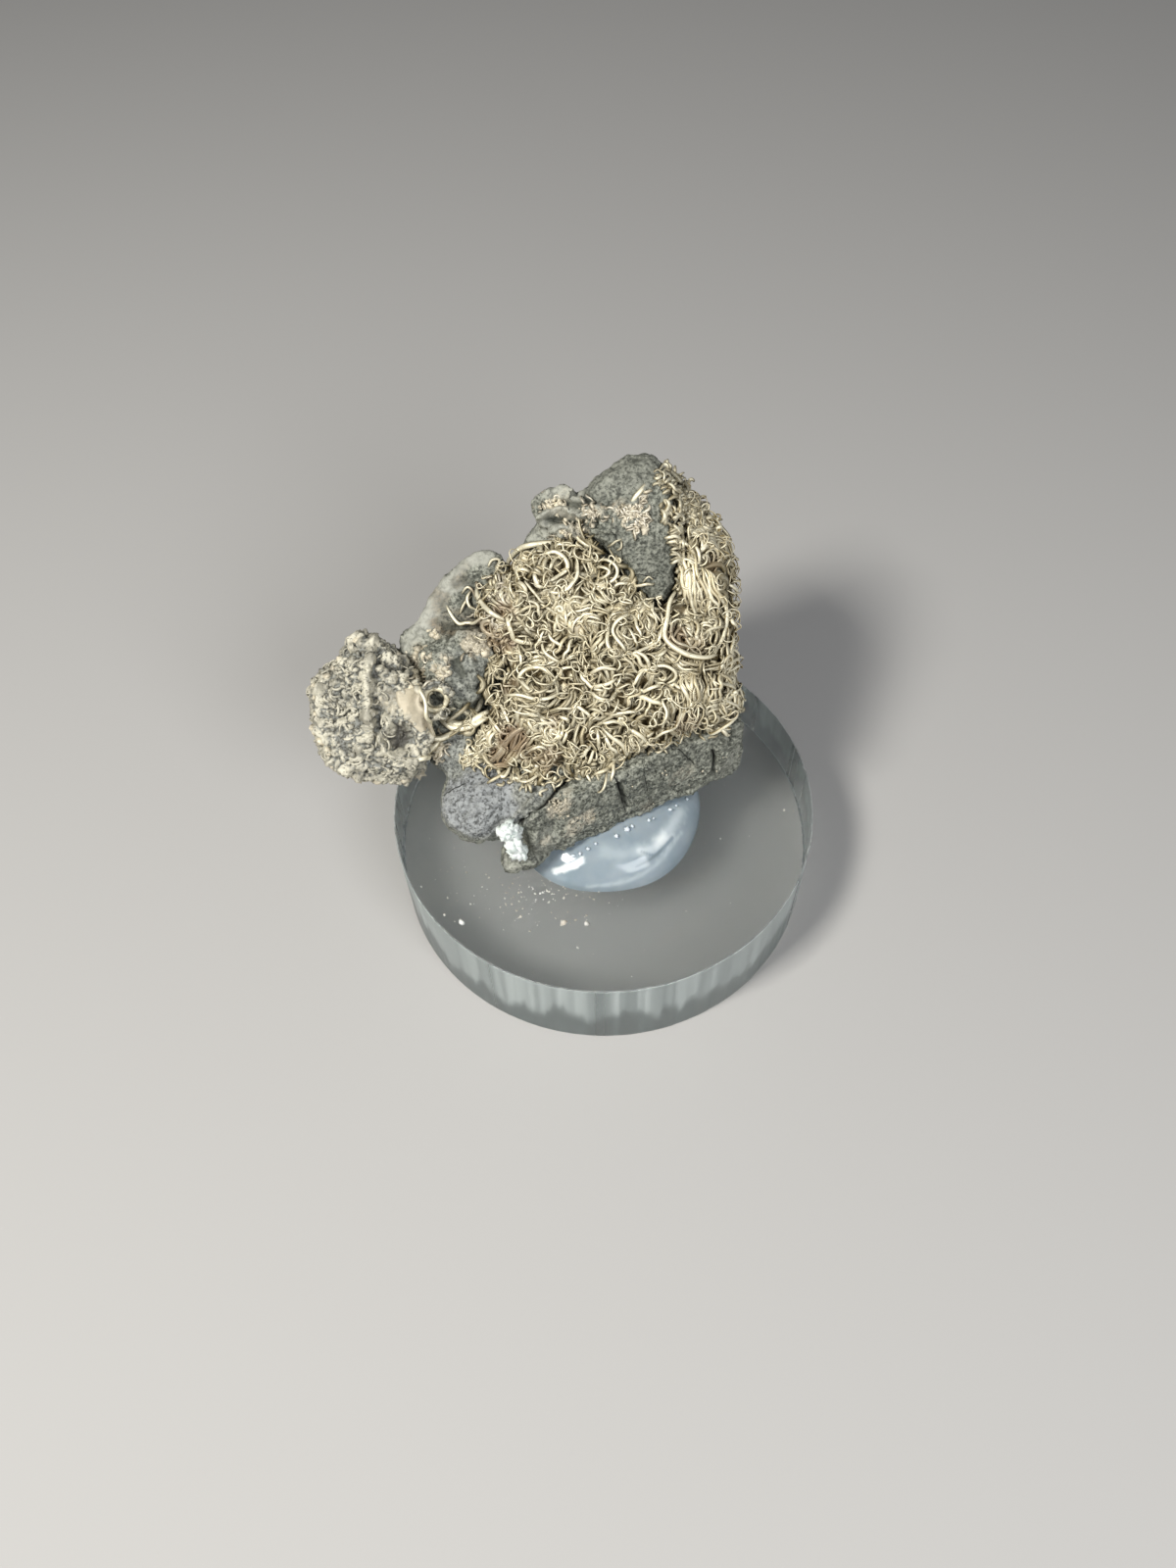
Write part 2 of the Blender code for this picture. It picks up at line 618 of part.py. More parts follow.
def build_crystals(cutters):
    """The white crystals: sheared blocks grown through each other."""
    made = None
    finish = material("white calcite", CRYSTAL_COLOUR, 0.25)
    shear = Matrix.Shear("XY", 4, (RHOMB_SHEAR, RHOMB_SHEAR))
    for index, (middle, size, turn) in enumerate(CRYSTALS):
        bm = bmesh.new()
        add_block(bm, middle, 0.5 * CRYSTAL_GROWTH * Vector(size), turn, shear)
        block = object_from("calcite_crystals" if index == 0 else f"crystal {index}", bm, finish)
        if made is None:
            made = block
            continue
        union = made.modifiers.new("grown together", "BOOLEAN")
        union.operation = "UNION"
        union.solver = "EXACT"
        union.object = as_helper(block)
    for cutter in cutters:
        cut(made, cutter)
    settle(made)


def main():
    """Builds every solid of the specimen."""
    clear_scene()
    clearance = build_rock()
    build_base()
    build_putty(clearance)
    nest_clearance = build_nest(clearance)
    build_knob([clearance, nest_clearance])
    build_crystals([clearance])


main()
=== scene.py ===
"""The looks of a native silver specimen: wire silver on dark rock, on a clear round base.

Metres, +Z up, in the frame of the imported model. The silver face leans back like a plate, so many
places are given in the plate's own frame: A to the right, B up the slope, C out of the face.
"""

import math
from functools import cached_property

import bmesh
import bpy
import numpy as np
from bpy.props import FloatProperty, FloatVectorProperty, IntProperty, PointerProperty
from bpy.types import Operator, Panel, PropertyGroup
from mathutils import Matrix, Vector
from mathutils.bvhtree import BVHTree


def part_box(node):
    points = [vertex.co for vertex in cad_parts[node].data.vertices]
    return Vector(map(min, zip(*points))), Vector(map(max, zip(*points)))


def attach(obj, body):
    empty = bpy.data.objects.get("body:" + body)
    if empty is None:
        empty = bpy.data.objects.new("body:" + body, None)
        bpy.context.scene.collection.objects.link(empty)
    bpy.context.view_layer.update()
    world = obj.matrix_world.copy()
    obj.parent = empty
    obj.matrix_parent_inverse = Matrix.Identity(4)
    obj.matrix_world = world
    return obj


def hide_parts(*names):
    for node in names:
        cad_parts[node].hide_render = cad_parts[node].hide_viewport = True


bl_info = {
    "name": "Native silver specimen",
    "version": (1, 0, 0),
    "blender": (4, 5, 0),
    "location": "3D View > Sidebar > Specimen",
    "description": "Dresses the packed model of a wire silver specimen on its clear base",
    "category": "Object",
}

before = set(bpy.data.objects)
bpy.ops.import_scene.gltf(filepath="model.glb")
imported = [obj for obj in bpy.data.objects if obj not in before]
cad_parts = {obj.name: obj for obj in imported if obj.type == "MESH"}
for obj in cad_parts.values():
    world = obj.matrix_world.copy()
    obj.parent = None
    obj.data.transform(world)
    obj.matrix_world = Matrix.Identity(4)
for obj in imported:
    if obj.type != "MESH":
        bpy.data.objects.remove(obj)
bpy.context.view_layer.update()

MM = 0.001

# The camera as it was fitted to the clear base's rims
CAMERA_PLACE = np.array([0.0, -39.116, 66.354]) * MM
CAMERA_FORWARD = np.array([-0.01264, 0.55647, -0.83077])
CAMERA_UP = np.array([0.00801, 0.83087, 0.55641])
CAMERA_RIGHT = np.cross(CAMERA_FORWARD, CAMERA_UP)
PICTURE_WIDTH = 1200
PICTURE_HEIGHT = 1600
FOCAL_PIXELS = 1202
SENSOR_MM = 36.0

# The plate frame
PLATE_MIDDLE = np.array([0.3, 1.6, 17.0]) * MM
PLATE_LEAN = math.radians(40)
PLATE_A = np.array([1.0, 0.0, 0.0])
PLATE_B = np.array([0.0, math.cos(PLATE_LEAN), math.sin(PLATE_LEAN)])
PLATE_C = np.array([0.0, -math.sin(PLATE_LEAN), math.cos(PLATE_LEAN)])

_, BASE_HIGH = (np.array(corner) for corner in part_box("acrylic_base"))
BASE_RADIUS = float(BASE_HIGH[0])
BASE_TOP = float(BASE_HIGH[2])
PUTTY_LOW, PUTTY_HIGH = (np.array(corner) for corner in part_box("mounting_putty"))

# Where the skin of the nest is seen from, in the plate frame
NEST_HEART = (0.2, 0.8, -4.2)

# Wires that show one by one. Each row: width in pixels, how far it stands out in mm, then x and y
# of the photograph's pixels that it passes. Where the lift is negative it spans a gap between its
# ends in the open. The widths and lifts are scaled by these shares.
LONE_WIDTH = 0.84
LONE_LIFT = 0.80
LONE_WIRES = (
    (6.0, 0.3, 675, 477, 683, 480, 691, 487, 697, 496, 703, 506, 712, 514, 718, 520),
    (4.5, 0.3, 714, 513, 720, 517, 716, 523, 709, 521),
    (4.5, 0.3, 722, 524, 730, 531, 738, 540, 745, 548),
    (8.0, 0.45, 518, 577, 525, 565, 540, 557, 560, 554, 582, 550),
    (6.0, 0.55, 549, 579, 553, 568, 565, 563, 575, 567, 580, 577, 576, 586, 565, 593, 556, 592),
    (5.0, 0.35, 559, 585, 563, 576, 572, 571, 578, 572),
    (5.5, 0.45, 588, 568, 591, 580, 588, 593, 578, 602, 564, 604, 555, 601),
    (7.0, 0.55, 545, 586, 549, 593, 556, 599),
    (7.0, 0.6, 486, 594, 490, 605, 497, 618, 506, 628, 516, 634),
    (7.0, 0.65, 515, 629, 521, 637, 526, 646, 534, 653, 546, 657),
    (4.5, 0.4, 497, 600, 503, 610, 513, 619),
    (5.0, 0.55, 455, 617, 462, 630, 471, 639, 481, 638, 490, 631, 498, 626),
    (4.0, 0.4, 481, 602, 477, 610, 480, 619, 489, 624),
    (3.5, 0.35, 471, 606, 477, 599, 483, 603, 486, 612),
    (3.5, 0.3, 469, 627, 474, 616, 481, 608),
    (4.0, 0.35, 498, 579, 502, 572, 509, 573, 506, 581, 511, 589),
    (3.0, 0.3, 503, 590, 508, 583, 514, 586, 513, 594),
    (4.0, 0.4, 519, 590, 524, 600, 527, 613),
    (4.0, 0.4, 535, 592, 541, 603, 549, 612, 557, 616),
    (4.5, 0.45, 538, 613, 546, 618, 552, 630),
    (3.0, 0.25, 619, 559, 627, 553, 635, 550),
    (3.0, 0.25, 629, 562, 635, 558, 634, 552),
    (3.2, 0.3, 620, 558, 626, 565, 632, 573, 638, 583, 643, 593, 646, 604, 641, 614),
    (4.5, 0.45, 624, 602, 631, 596, 642, 595, 656, 595, 668, 596),
    (2.5, 0.3, 656, 595, 661, 588, 667, 592),
    (7.5, 0.6, 690, 603, 681, 614, 677, 628, 678, 641, 684, 656, 695, 667, 708, 673, 722, 674, 732, 668),
    (4.5, 0.55, 684, 628, 684, 645, 691, 658, 702, 666, 716, 669),
    (6.0, 0.5, 716, 590, 725, 599, 733, 610, 739, 622, 738, 640, 735, 656, 729, 668),
    (5.0, 0.5, 712, 592, 720, 602, 728, 613, 731, 624),
    (5.0, 0.55, 707, 556, 711, 566, 713, 575),
    (3.5, 0.45, 692, 571, 700, 571, 708, 575, 716, 575),
    (5.5, 0.5, 635, 624, 624, 630, 617, 641, 618, 654, 624, 664, 632, 669),
    (5.5, 0.55, 642, 626, 634, 632, 630, 643, 633, 656, 640, 666),
    (4.5, 0.4, 640, 640, 645, 651, 649, 661),
    (4.5, 0.45, 644, 627, 649, 636, 651, 646, 650, 656),
    (4.5, 0.5, 674, 624, 676, 638, 673, 651, 663, 661, 648, 666, 632, 669),
    (6.0, 0.55, 741, 596, 745, 602, 748, 609),
    (4.0, 0.5, 735, 626, 742, 625, 749, 628),
    (6.0, 0.5, 741, 629, 745, 638, 749, 645),
    (4.5, 0.45, 608, 577, 618, 572, 627, 577, 631, 587, 625, 595, 612, 598, 603, 595),
    (4.0, 0.4, 606, 583, 614, 579, 621, 583, 618, 589, 609, 590),
    (4.5, 0.4, 602, 604, 612, 600, 622, 601, 627, 607),
    (4.0, 0.35, 606, 611, 618, 613, 630, 612, 640, 606),
    (7.0, 0.6, 530, 697, 535, 690, 545, 687, 556, 685, 564, 690),
    (5.0, 0.5, 513, 709, 526, 710, 541, 713, 556, 714, 569, 711, 582, 707),
    (5.0, 0.5, 566, 723, 578, 720, 591, 721, 600, 727, 605, 737),
    (4.5, 0.45, 504, 714, 514, 721, 519, 733, 522, 747),
    (4.5, 0.45, 499, 729, 507, 739, 514, 747, 523, 748),
    (9.0, 0.35, 507, 768, 516, 757, 525, 748, 534, 742),
    (6.0, 0.4, 498, 779, 509, 767, 519, 755, 527, 745),
    (5.0, 0.5, 507, 779, 509, 789, 515, 795, 520, 788, 521, 777),
    (4.5, 0.5, 527, 796, 536, 801, 546, 797, 553, 789, 560, 784),
    (4.0, 0.5, 557, 787, 560, 796, 566, 806),
    (4.0, 0.45, 531, 787, 540, 784, 548, 790),
    (4.0, 0.45, 531, 772, 541, 765, 551, 762, 558, 766),
    (4.0, 0.45, 596, 783, 599, 793, 603, 799),
    (4.5, 0.5, 654, 691, 660, 683, 670, 679, 681, 679, 688, 685, 687, 693, 679, 698),
    (4.5, 0.45, 640, 702, 648, 694, 655, 685, 666, 679),
    (7.0, 0.65, 647, 710, 659, 712, 668, 717, 675, 721),
    (5.0, 0.5, 642, 704, 655, 704, 666, 702, 673, 697),
    (5.0, 0.5, 682, 698, 690, 703, 698, 705),
    (6.0, 0.55, 691, 685, 696, 695, 699, 706, 703, 718),
    (4.0, 0.4, 675, 703, 681, 709, 688, 711),
    (4.5, 0.45, 676, 712, 678, 727, 676, 744),
    (4.5, 0.45, 667, 756, 675, 746, 686, 740, 693, 729, 696, 714),
    (6.0, 0.6, 718, 748, 728, 742, 741, 734, 754, 726),
    (6.0, 0.5, 724, 743, 733, 746, 744, 749),
    (6.5, 0.6, 614, 741, 622, 749, 631, 758, 639, 769, 636, 778, 627, 777, 620, 768),
    (5.5, 0.55, 616, 748, 623, 757, 630, 768),
    (5.0, 0.5, 614, 737, 625, 738, 634, 741),
    (6.0, 0.55, 641, 742, 650, 748, 660, 757),
    (5.0, 0.45, 610, 744, 611, 757, 617, 770),
    (6.0, 0.55, 603, 757, 595, 764, 590, 774),
    (4.5, 0.45, 606, 763, 602, 773, 598, 781),
    (4.5, 0.5, 623, 774, 626, 786, 623, 797),
    (5.0, 0.5, 621, 731, 629, 725, 641, 724, 651, 726),
    (5.5, 0.5, 600, 697, 607, 702, 616, 699, 624, 693, 630, 691),
    (5.5, 0.5, 601, 690, 608, 683, 619, 680, 630, 683),
    (5.5, 0.5, 590, 685, 597, 694, 606, 701, 617, 705),
    (3.5, 0.3, 749, 694, 755, 703, 758, 714, 756, 727),
    (4.5, 0.45, 734, 713, 742, 717, 749, 722, 748, 730),
    (4.0, 0.45, 690, 757, 680, 762, 672, 759),
    (4.5, 0.5, 560, 645, 567, 655, 575, 660),
    (4.5, 0.5, 553, 652, 558, 665, 566, 673, 577, 677),
    (4.5, 0.5, 530, 660, 534, 672, 531, 684),
    (5.0, 0.55, 545, 662, 552, 652, 556, 643),
    (4.5, 0.45, 560, 700, 565, 690, 575, 683, 588, 680),
    (5.5, 0.85, 428, 700, 431, 712, 434, 726, 438, 739, 444, 752),
    (10.0, -0.6, 449, 727, 459, 735, 469, 739, 480, 737, 490, 731, 499, 726),
    (8.5, -0.45, 448, 733, 460, 742, 472, 743, 485, 739, 498, 731),
    (8.5, -0.6, 454, 726, 463, 722, 472, 723, 479, 729, 486, 727, 490, 719, 492, 711),
    (8.0, -0.35, 438, 753, 448, 754, 458, 750, 466, 744),
    (8.0, 0.6, 450, 752, 447, 760, 441, 766, 433, 772, 424, 777),
    (6.5, 0.4, 643, 517, 648, 508, 654, 501, 659, 494),
)

# The ring of wire beside the knob: its middle and radius in pixels, and the wire's width
RING_MIDDLE = (445, 713)
RING_PIXELS = 12.5
RING_WIDTH = 8.5

# Sheaves of like wires: corner pixels of the first and the last wire, how many there are, their
# width in pixels and how far they wave to and fro in pixels
SHEAVES = (
    (692, 560, 698, 618, 708, 563, 722, 628, 9, 4.2, 1.8),
    (703, 574, 708, 638, 722, 580, 741, 624, 9, 3.6, 2.2),
    (700, 688, 703, 722, 734, 686, 733, 716, 11, 4.2, 1.6),
    (606, 640, 600, 668, 622, 652, 612, 676, 5, 4.0, 1.2),
    (636, 668, 655, 690, 648, 664, 668, 682, 4, 4.0, 1.5),
    (694, 700, 690, 745, 718, 722, 706, 748, 8, 2.6, 1.2),
    (592, 600, 612, 622, 604, 594, 626, 616, 6, 3.4, 1.4),
    (572, 645, 560, 668, 590, 655, 578, 676, 4, 3.6, 1.2),
    (504, 780, 526, 742, 517, 784, 541, 750, 7, 3.6, 1.2),
    (655, 700, 640, 722, 668, 708, 656, 730, 4, 3.6, 1.4),
)

# Places where the curls turn round a middle: pixel and radius in mm
SWIRLS = (
    (566, 580, 0.9), (640, 645, 1.2), (616, 585, 0.8), (545, 700, 1.2), (672, 690, 0.8), (625, 765, 0.8),
    (610, 695, 1.0), (706, 648, 1.6), (560, 745, 0.7), (655, 735, 0.8), (520, 610, 0.8), (590, 655, 0.8),
)

# Dark holes between the curls: pixel and radius in mm
HOLES = ((571, 581, 0.42), (546, 593, 0.26), (597, 717, 0.22), (633, 713, 0.22))

# Brown and reddish tarnish: pixel, radius in mm and strength
TARNISH = (
    (524, 754, 1.1, 1.0), (511, 771, 0.8, 0.9), (512, 650, 1.1, 0.8), (520, 625, 0.8, 0.6),
    (560, 775, 0.9, 0.6), (690, 650, 0.8, 0.8), (708, 660, 0.9, 0.5), (728, 575, 0.7, 0.5),
    (700, 737, 0.9, 0.6), (590, 640, 0.5, 0.5), (520, 700, 0.6, 0.7), (565, 735, 0.7, 0.5),
    (490, 600, 0.7, 0.8), (497, 640, 0.8, 0.8), (514, 622, 0.7, 0.8), (505, 672, 0.7, 0.8),
    (538, 765, 0.8, 0.6),
)

# Tight, crumbly curls in place of long ones: pixel and radius in mm
CRUMBLY = (
    (700, 520, 1.8), (725, 545, 1.6), (512, 660, 1.4), (550, 785, 1.2), (708, 650, 1.0), (740, 700, 0.8),
    (515, 690, 0.9),
)

# Where curls may leave the solid nest and spread over the rock beside it: pixel and radius in mm
SPILLS = (
    (680, 515, 0.5), (688, 550, 0.6), (692, 588, 0.6), (668, 612, 0.6), (505, 600, 0.9), (508, 640, 0.8),
    (522, 575, 0.8), (600, 565, 0.6), (640, 600, 0.5), (505, 690, 0.5), (505, 745, 0.5), (530, 785, 0.5),
    (565, 785, 0.5), (607, 780, 0.6), (622, 782, 0.5),
)

# Tight tangles: pixel, spread in pixels, how many, width in pixels, and their kind, which is dull
# crust, bright wire, or bright wire that hangs in the crevice's mouth
CRUST, BRIGHT, HANGING = 0, 1, 2
TANGLES = (
    (684, 490, 6, 9, 60, 3.6, 1), (699, 514, 9, 11, 80, 3.6, 1), (696, 502, 3, 8, 30, 4.0, 2),
    (696, 520, 3, 10, 36, 4.0, 2), (696, 545, 3, 12, 44, 4.0, 2), (696, 570, 3, 10, 36, 4.0, 2),
    (697, 592, 3, 9, 24, 4.0, 2), (714, 530, 9, 9, 50, 3.6, 1), (742, 720, 10, 9, 40, 3.2, 1),
    (650, 758, 22, 5, 56, 3.0, 1), (700, 742, 28, 5, 60, 3.0, 1), (598, 785, 14, 7, 50, 3.2, 1),
    (534, 797, 16, 5, 34, 3.4, 1), (482, 774, 8, 7, 80, 2.6, 1), (496, 757, 9, 8, 80, 2.6, 1),
    (649, 530, 7, 8, 90, 3.0, 0), (652, 508, 2, 7, 16, 3.2, 0), (633, 522, 6, 7, 20, 2.6, 0),
    (606, 522, 7, 8, 34, 2.8, 0), (582, 546, 16, 7, 50, 2.8, 0), (561, 512, 14, 9, 20, 2.6, 0),
    (511, 606, 12, 14, 40, 3.0, 0), (506, 652, 9, 16, 50, 3.0, 0), (450, 683, 8, 6, 10, 2.8, 0),
    (486, 658, 13, 8, 16, 2.8, 0), (428, 686, 6, 16, 30, 3.0, 0), (447, 762, 6, 12, 24, 3.0, 0),
)

# What the rock is like from place to place, and where shade is painted on it, by kind: pixel, radius in mm
# and strength
ROCK_SPOTS = {
    "pale": (
        (434, 636, 0.9, 1.0), (446, 612, 0.9, 1.0), (461, 592, 1.0, 1.0), (478, 572, 1.1, 1.0),
        (495, 565, 1.0, 0.9), (575, 512, 1.6, 0.8), (560, 530, 1.2, 0.8), (545, 548, 1.0, 0.5),
        (640, 472, 2.0, 0.3), (610, 492, 1.6, 0.3), (525, 880, 1.2, 0.5), (550, 862, 1.4, 0.3),
        (745, 780, 1.2, 0.3), (421, 650, 0.7, 0.8), (440, 624, 0.8, 1.0), (453, 601, 0.8, 1.0),
        (556, 852, 1.1, 0.45), (530, 822, 0.8, 0.3), (520, 880, 0.9, 0.5),
    ),
    "blue": (
        (490, 820, 2.8, 1.0), (475, 690, 1.8, 0.25), (462, 815, 1.6, 1.0), (455, 770, 1.6, 0.4),
        (540, 810, 1.3, 0.4),
    ),
    "warm": (
        (575, 822, 0.9, 1.0), (600, 833, 0.9, 1.0), (588, 845, 0.8, 0.8), (556, 858, 0.6, 0.6),
        (645, 522, 0.8, 0.9), (486, 658, 1.0, 1.0), (450, 682, 0.6, 1.0), (606, 522, 0.6, 0.8),
        (580, 542, 1.0, 0.7), (425, 672, 0.8, 0.5), (566, 515, 0.8, 0.5), (660, 820, 0.8, 0.3),
        (700, 790, 1.0, 0.25),
    ),
    "rough": (
        (572, 522, 1.9, 1.0), (600, 530, 1.2, 0.7), (478, 655, 1.4, 0.6), (440, 680, 0.9, 0.6),
        (425, 668, 1.0, 0.6), (505, 600, 1.4, 0.5),
    ),
    "rust": (
        (490, 645, 1.6, 1.0), (515, 640, 1.3, 0.9), (452, 615, 0.8, 0.6), (476, 590, 0.7, 0.5),
        (450, 643, 0.9, 0.9), (590, 545, 1.0, 0.5), (430, 690, 1.0, 0.5), (690, 560, 0.8, 0.6),
        (462, 628, 0.7, 0.7),
    ),
    # Spots darkened towards the dark rock colour: darker rock, and painted shade on the apron beside the
    # nest
    "dark_and_shade": (
        (665, 580, 1.9, 0.6), (645, 560, 1.9, 0.5), (640, 485, 2.4, 0.45), (610, 500, 1.6, 0.45),
        (480, 598, 0.6, 1.0), (474, 616, 0.9, 1.0), (460, 640, 0.8, 1.0), (465, 680, 0.35, 1.0),
        (490, 690, 0.9, 0.4), (439, 668, 0.45, 0.9), (462, 664, 0.45, 0.9), (440, 695, 0.5, 0.9),
        (463, 700, 0.5, 0.9), (455, 655, 0.5, 0.8), (459, 606, 0.4, 0.9), (458, 621, 0.5, 0.9),
        (451, 637, 0.5, 0.9), (470, 592, 0.4, 0.7),
    ),
}

# Ridges and, where the height is negative, cracks and grooves: height and half width in mm, pixels
ROCK_STROKES = (
    (-0.6, 0.11, 631, 799, 635, 808, 638, 818, 642, 834),
    (-0.25, 0.09, 686, 762, 693, 766, 700, 772, 707, 779),
    (-0.4, 0.13, 727, 766, 729, 778, 728, 791),
    (-0.25, 0.09, 747, 748, 744, 760, 739, 772),
    (-0.5, 0.11, 581, 790, 570, 802, 558, 816, 545, 829, 530, 840),
    (0.34, 0.11, 576, 786, 564, 796, 550, 809, 537, 822, 518, 840),
    (-0.12, 0.045, 566, 835, 563, 855, 561, 868),
    (-0.12, 0.045, 556, 838, 552, 856, 550, 872),
    (-0.12, 0.045, 547, 845, 544, 860, 542, 874),
    (0.16, 0.12, 452, 812, 456, 832, 470, 847, 490, 855, 508, 846),
    (-0.14, 0.05, 560, 812, 556, 840, 550, 872),
    (-0.14, 0.05, 655, 770, 660, 800, 664, 826),
    (-0.14, 0.045, 612, 800, 616, 825, 618, 850),
    (-0.16, 0.045, 575, 850, 600, 848, 640, 832, 680, 815),
    (0.42, 0.15, 548, 514, 558, 507, 572, 503, 584, 509),
    (0.4, 0.14, 552, 527, 562, 521, 576, 520, 590, 523, 600, 521),
    (0.38, 0.16, 558, 543, 570, 537, 585, 541, 597, 551),
    (0.3, 0.14, 600, 519, 608, 517, 614, 524, 612, 533),
    (-0.45, 0.16, 553, 518, 566, 513, 580, 514, 592, 517),
    (-0.45, 0.18, 560, 531, 574, 530, 590, 533, 600, 540),
    (-0.45, 0.22, 590, 500, 598, 508, 604, 514),
    (0.3, 0.2, 460, 655, 472, 648, 486, 649, 497, 660, 500, 672),
    (0.26, 0.2, 437, 680, 446, 676, 457, 679),
    (-0.35, 0.28, 463, 676, 468, 681, 471, 688),
    (-0.22, 0.1, 478, 700, 484, 706, 490, 700),
    (-0.22, 0.1, 452, 642, 470, 640, 500, 640),
    (0.26, 0.14, 626, 536, 628, 520, 636, 512, 648, 513, 656, 500, 660, 494),
    (0.24, 0.14, 640, 535, 650, 530, 656, 520),
    (-0.2, 0.1, 603, 545, 618, 548, 634, 546),
)

# Dark cracks: half width in mm, pixels
CRACKS = (
    (0.075, 630, 797, 634, 806, 637, 817, 642, 836),
    (0.035, 617, 783, 624, 790, 630, 797),
    (0.028, 686, 762, 693, 766, 700, 772, 707, 779),
    (0.042, 727, 766, 729, 776, 728, 789),
    (0.018, 655, 775, 659, 795, 664, 822),
    (0.05, 579, 791, 568, 803, 556, 817, 543, 830, 530, 841),
    (0.025, 575, 850, 600, 848, 640, 832, 682, 815),
    (0.03, 640, 590, 652, 586, 668, 590),
    (0.03, 626, 545, 634, 560, 636, 580),
    (0.035, 452, 812, 460, 806, 473, 800),
)

# Patches of crust grains on the rock: pixel, spread in pixels, how many, size in mm
GRAIN_PATCHES = (
    (646, 528, 11, 12, 60, 0.22), (660, 540, 3, 3, 4, 0.34), (486, 656, 15, 7, 110, 0.34),
    (450, 682, 7, 6, 56, 0.34), (425, 670, 9, 5, 30, 0.28), (426, 690, 5, 18, 50, 0.34),
    (600, 525, 12, 10, 30, 0.18), (580, 544, 18, 9, 60, 0.2), (561, 513, 18, 11, 70, 0.22),
    (508, 655, 12, 20, 60, 0.2), (442, 645, 7, 5, 14, 0.24), (692, 540, 6, 34, 60, 0.16),
    (573, 824, 11, 9, 70, 0.13), (600, 833, 8, 5, 36, 0.13), (700, 800, 70, 20, 20, 0.1),
    (447, 765, 6, 12, 30, 0.26),
)

# The knob's ridges and grooves, and its hollows: pixel, radius and depth in mm
KNOB_STROKES = (
    (0.5, 0.22, 381, 654, 377, 672, 374, 695, 374, 722, 378, 748),
    (-0.22, 0.12, 366, 665, 364, 690, 363, 720, 366, 745),
    (-0.22, 0.14, 388, 665, 385, 690, 384, 720, 388, 742),
    (0.34, 0.18, 358, 654, 371, 651, 386, 661, 402, 672, 420, 672),
    (0.26, 0.16, 385, 682, 400, 688, 414, 690),
    (-0.24, 0.12, 386, 674, 402, 681, 418, 683),
    (0.46, 0.16, 424, 698, 431, 712, 436, 728, 443, 750),
    (0.34, 0.15, 398, 738, 388, 752, 396, 768, 410, 775),
    (0.4, 0.16, 449, 752, 446, 764, 434, 772, 420, 776),
    (0.28, 0.14, 345, 782, 362, 790, 385, 792, 405, 796, 430, 797),
    (0.26, 0.16, 330, 700, 326, 715, 325, 735, 332, 755),
    (-0.2, 0.12, 350, 765, 372, 776, 395, 782),
)
KNOB_HOLLOWS = (
    (407, 752, 0.85, 0.5), (425, 690, 0.4, 0.25), (438, 722, 0.55, 0.45), (345, 722, 0.8, 0.12),
    (325, 704, 0.45, -0.25), (330, 745, 0.5, -0.2), (340, 778, 0.4, -0.15), (372, 656, 0.45, -0.25),
)
KNOB_SMOOTH = ((422, 718, 0.85, 1.0), (398, 715, 0.75, 0.55), (431, 735, 0.35, 0.8))
KNOB_BARE = (
    (425, 690, 0.9, 0.9), (412, 750, 0.7, 0.9), (352, 715, 0.9, 0.6), (440, 700, 0.6, 0.8),
    (335, 765, 0.5, 0.4), (380, 778, 0.5, 0.5), (397, 706, 0.6, 0.6), (388, 742, 0.5, 0.7),
    (352, 755, 0.6, 0.5), (362, 672, 0.3, 0.6),
)

# Nodules on the knob's outline and crests: pixel and size in pixels
NODULES = (
    (321, 702, 7), (322, 711, 6), (347, 673, 6), (340, 682, 6), (334, 690, 6), (366, 654, 9), (374, 654, 7),
    (335, 766, 7), (341, 781, 7), (354, 790, 6), (322, 744, 7), (328, 757, 7), (413, 795, 6), (428, 790, 7),
    (366, 796, 6), (385, 797, 6), (322, 728, 6), (357, 661, 6), (392, 661, 6), (405, 668, 6),
)

# Where the knob has no loose curls and crumbs: pixel and radius in pixels
KNOB_CLEAR = (
    (420, 718, 16), (407, 752, 13), (436, 722, 12), (446, 713, 12), (376, 682, 8), (375, 700, 8),
    (375, 718, 8), (377, 736, 8), (397, 700, 11), (398, 718, 9),
)

# The smooth sheet of silver at the knob's right: its left and its right edge
SHEET_LEFT = (404, 706, 406, 718, 414, 732, 426, 745, 436, 753)
SHEET_RIGHT = (429, 697, 432, 709, 436, 724, 441, 740, 445, 753)

# White crystals of calcite: pixel, spread in pixels and how many
CALCITE_PATCHES = ((521, 849, 11, 8, 50), (529, 866, 8, 9, 50))

# Dust and flakes on the clear base, by pixel
DUST_FIELD = ((545, 912), (38, 22))
FLAKES = (
    (471, 942, 5.0), (575, 942, 4.5), (599, 943, 4.0), (600, 908, 3.5), (735, 856, 2.0), (516, 923, 2.5),
    (560, 921, 2.2), (800, 827, 1.8), (430, 905, 1.8), (540, 905, 1.8), (700, 930, 1.4), (662, 862, 1.4),
)
# Painted reflections on the putty, and painted shade along its creases where negative: strength, half width
# in pixels, power, pixels
GLEAMS = (
    (1.0, 4.2, 6, 567, 889, 576, 886, 585, 883, 592, 879),
    (0.55, 6.0, 2, 656, 868, 668, 864, 678, 855),
    (0.45, 6.0, 2, 672, 856, 684, 844, 694, 830),
    (-0.6, 1.3, 2, 650, 884, 662, 878, 674, 868, 686, 855),
    (-0.4, 1.0, 2, 655, 869, 668, 873, 674, 868),
    (0.3, 2.4, 2, 600, 905, 640, 899, 672, 880, 695, 850),
    (0.25, 8.0, 2, 618, 868, 634, 872, 648, 868),
)
BUBBLES = (
    (585, 873, 3.2), (592, 871, 2.4), (600, 866, 3.4), (608, 861, 2.4), (629, 853, 3.6), (640, 846, 4.0),
    (645, 843, 2.6), (662, 837, 2.6), (667, 835, 2.2), (684, 826, 3.4), (690, 822, 2.2), (701, 815, 2.4),
)


def unit(vectors):
    """Vectors divided by their length."""
    return vectors / np.linalg.norm(vectors, axis=-1, keepdims=True)


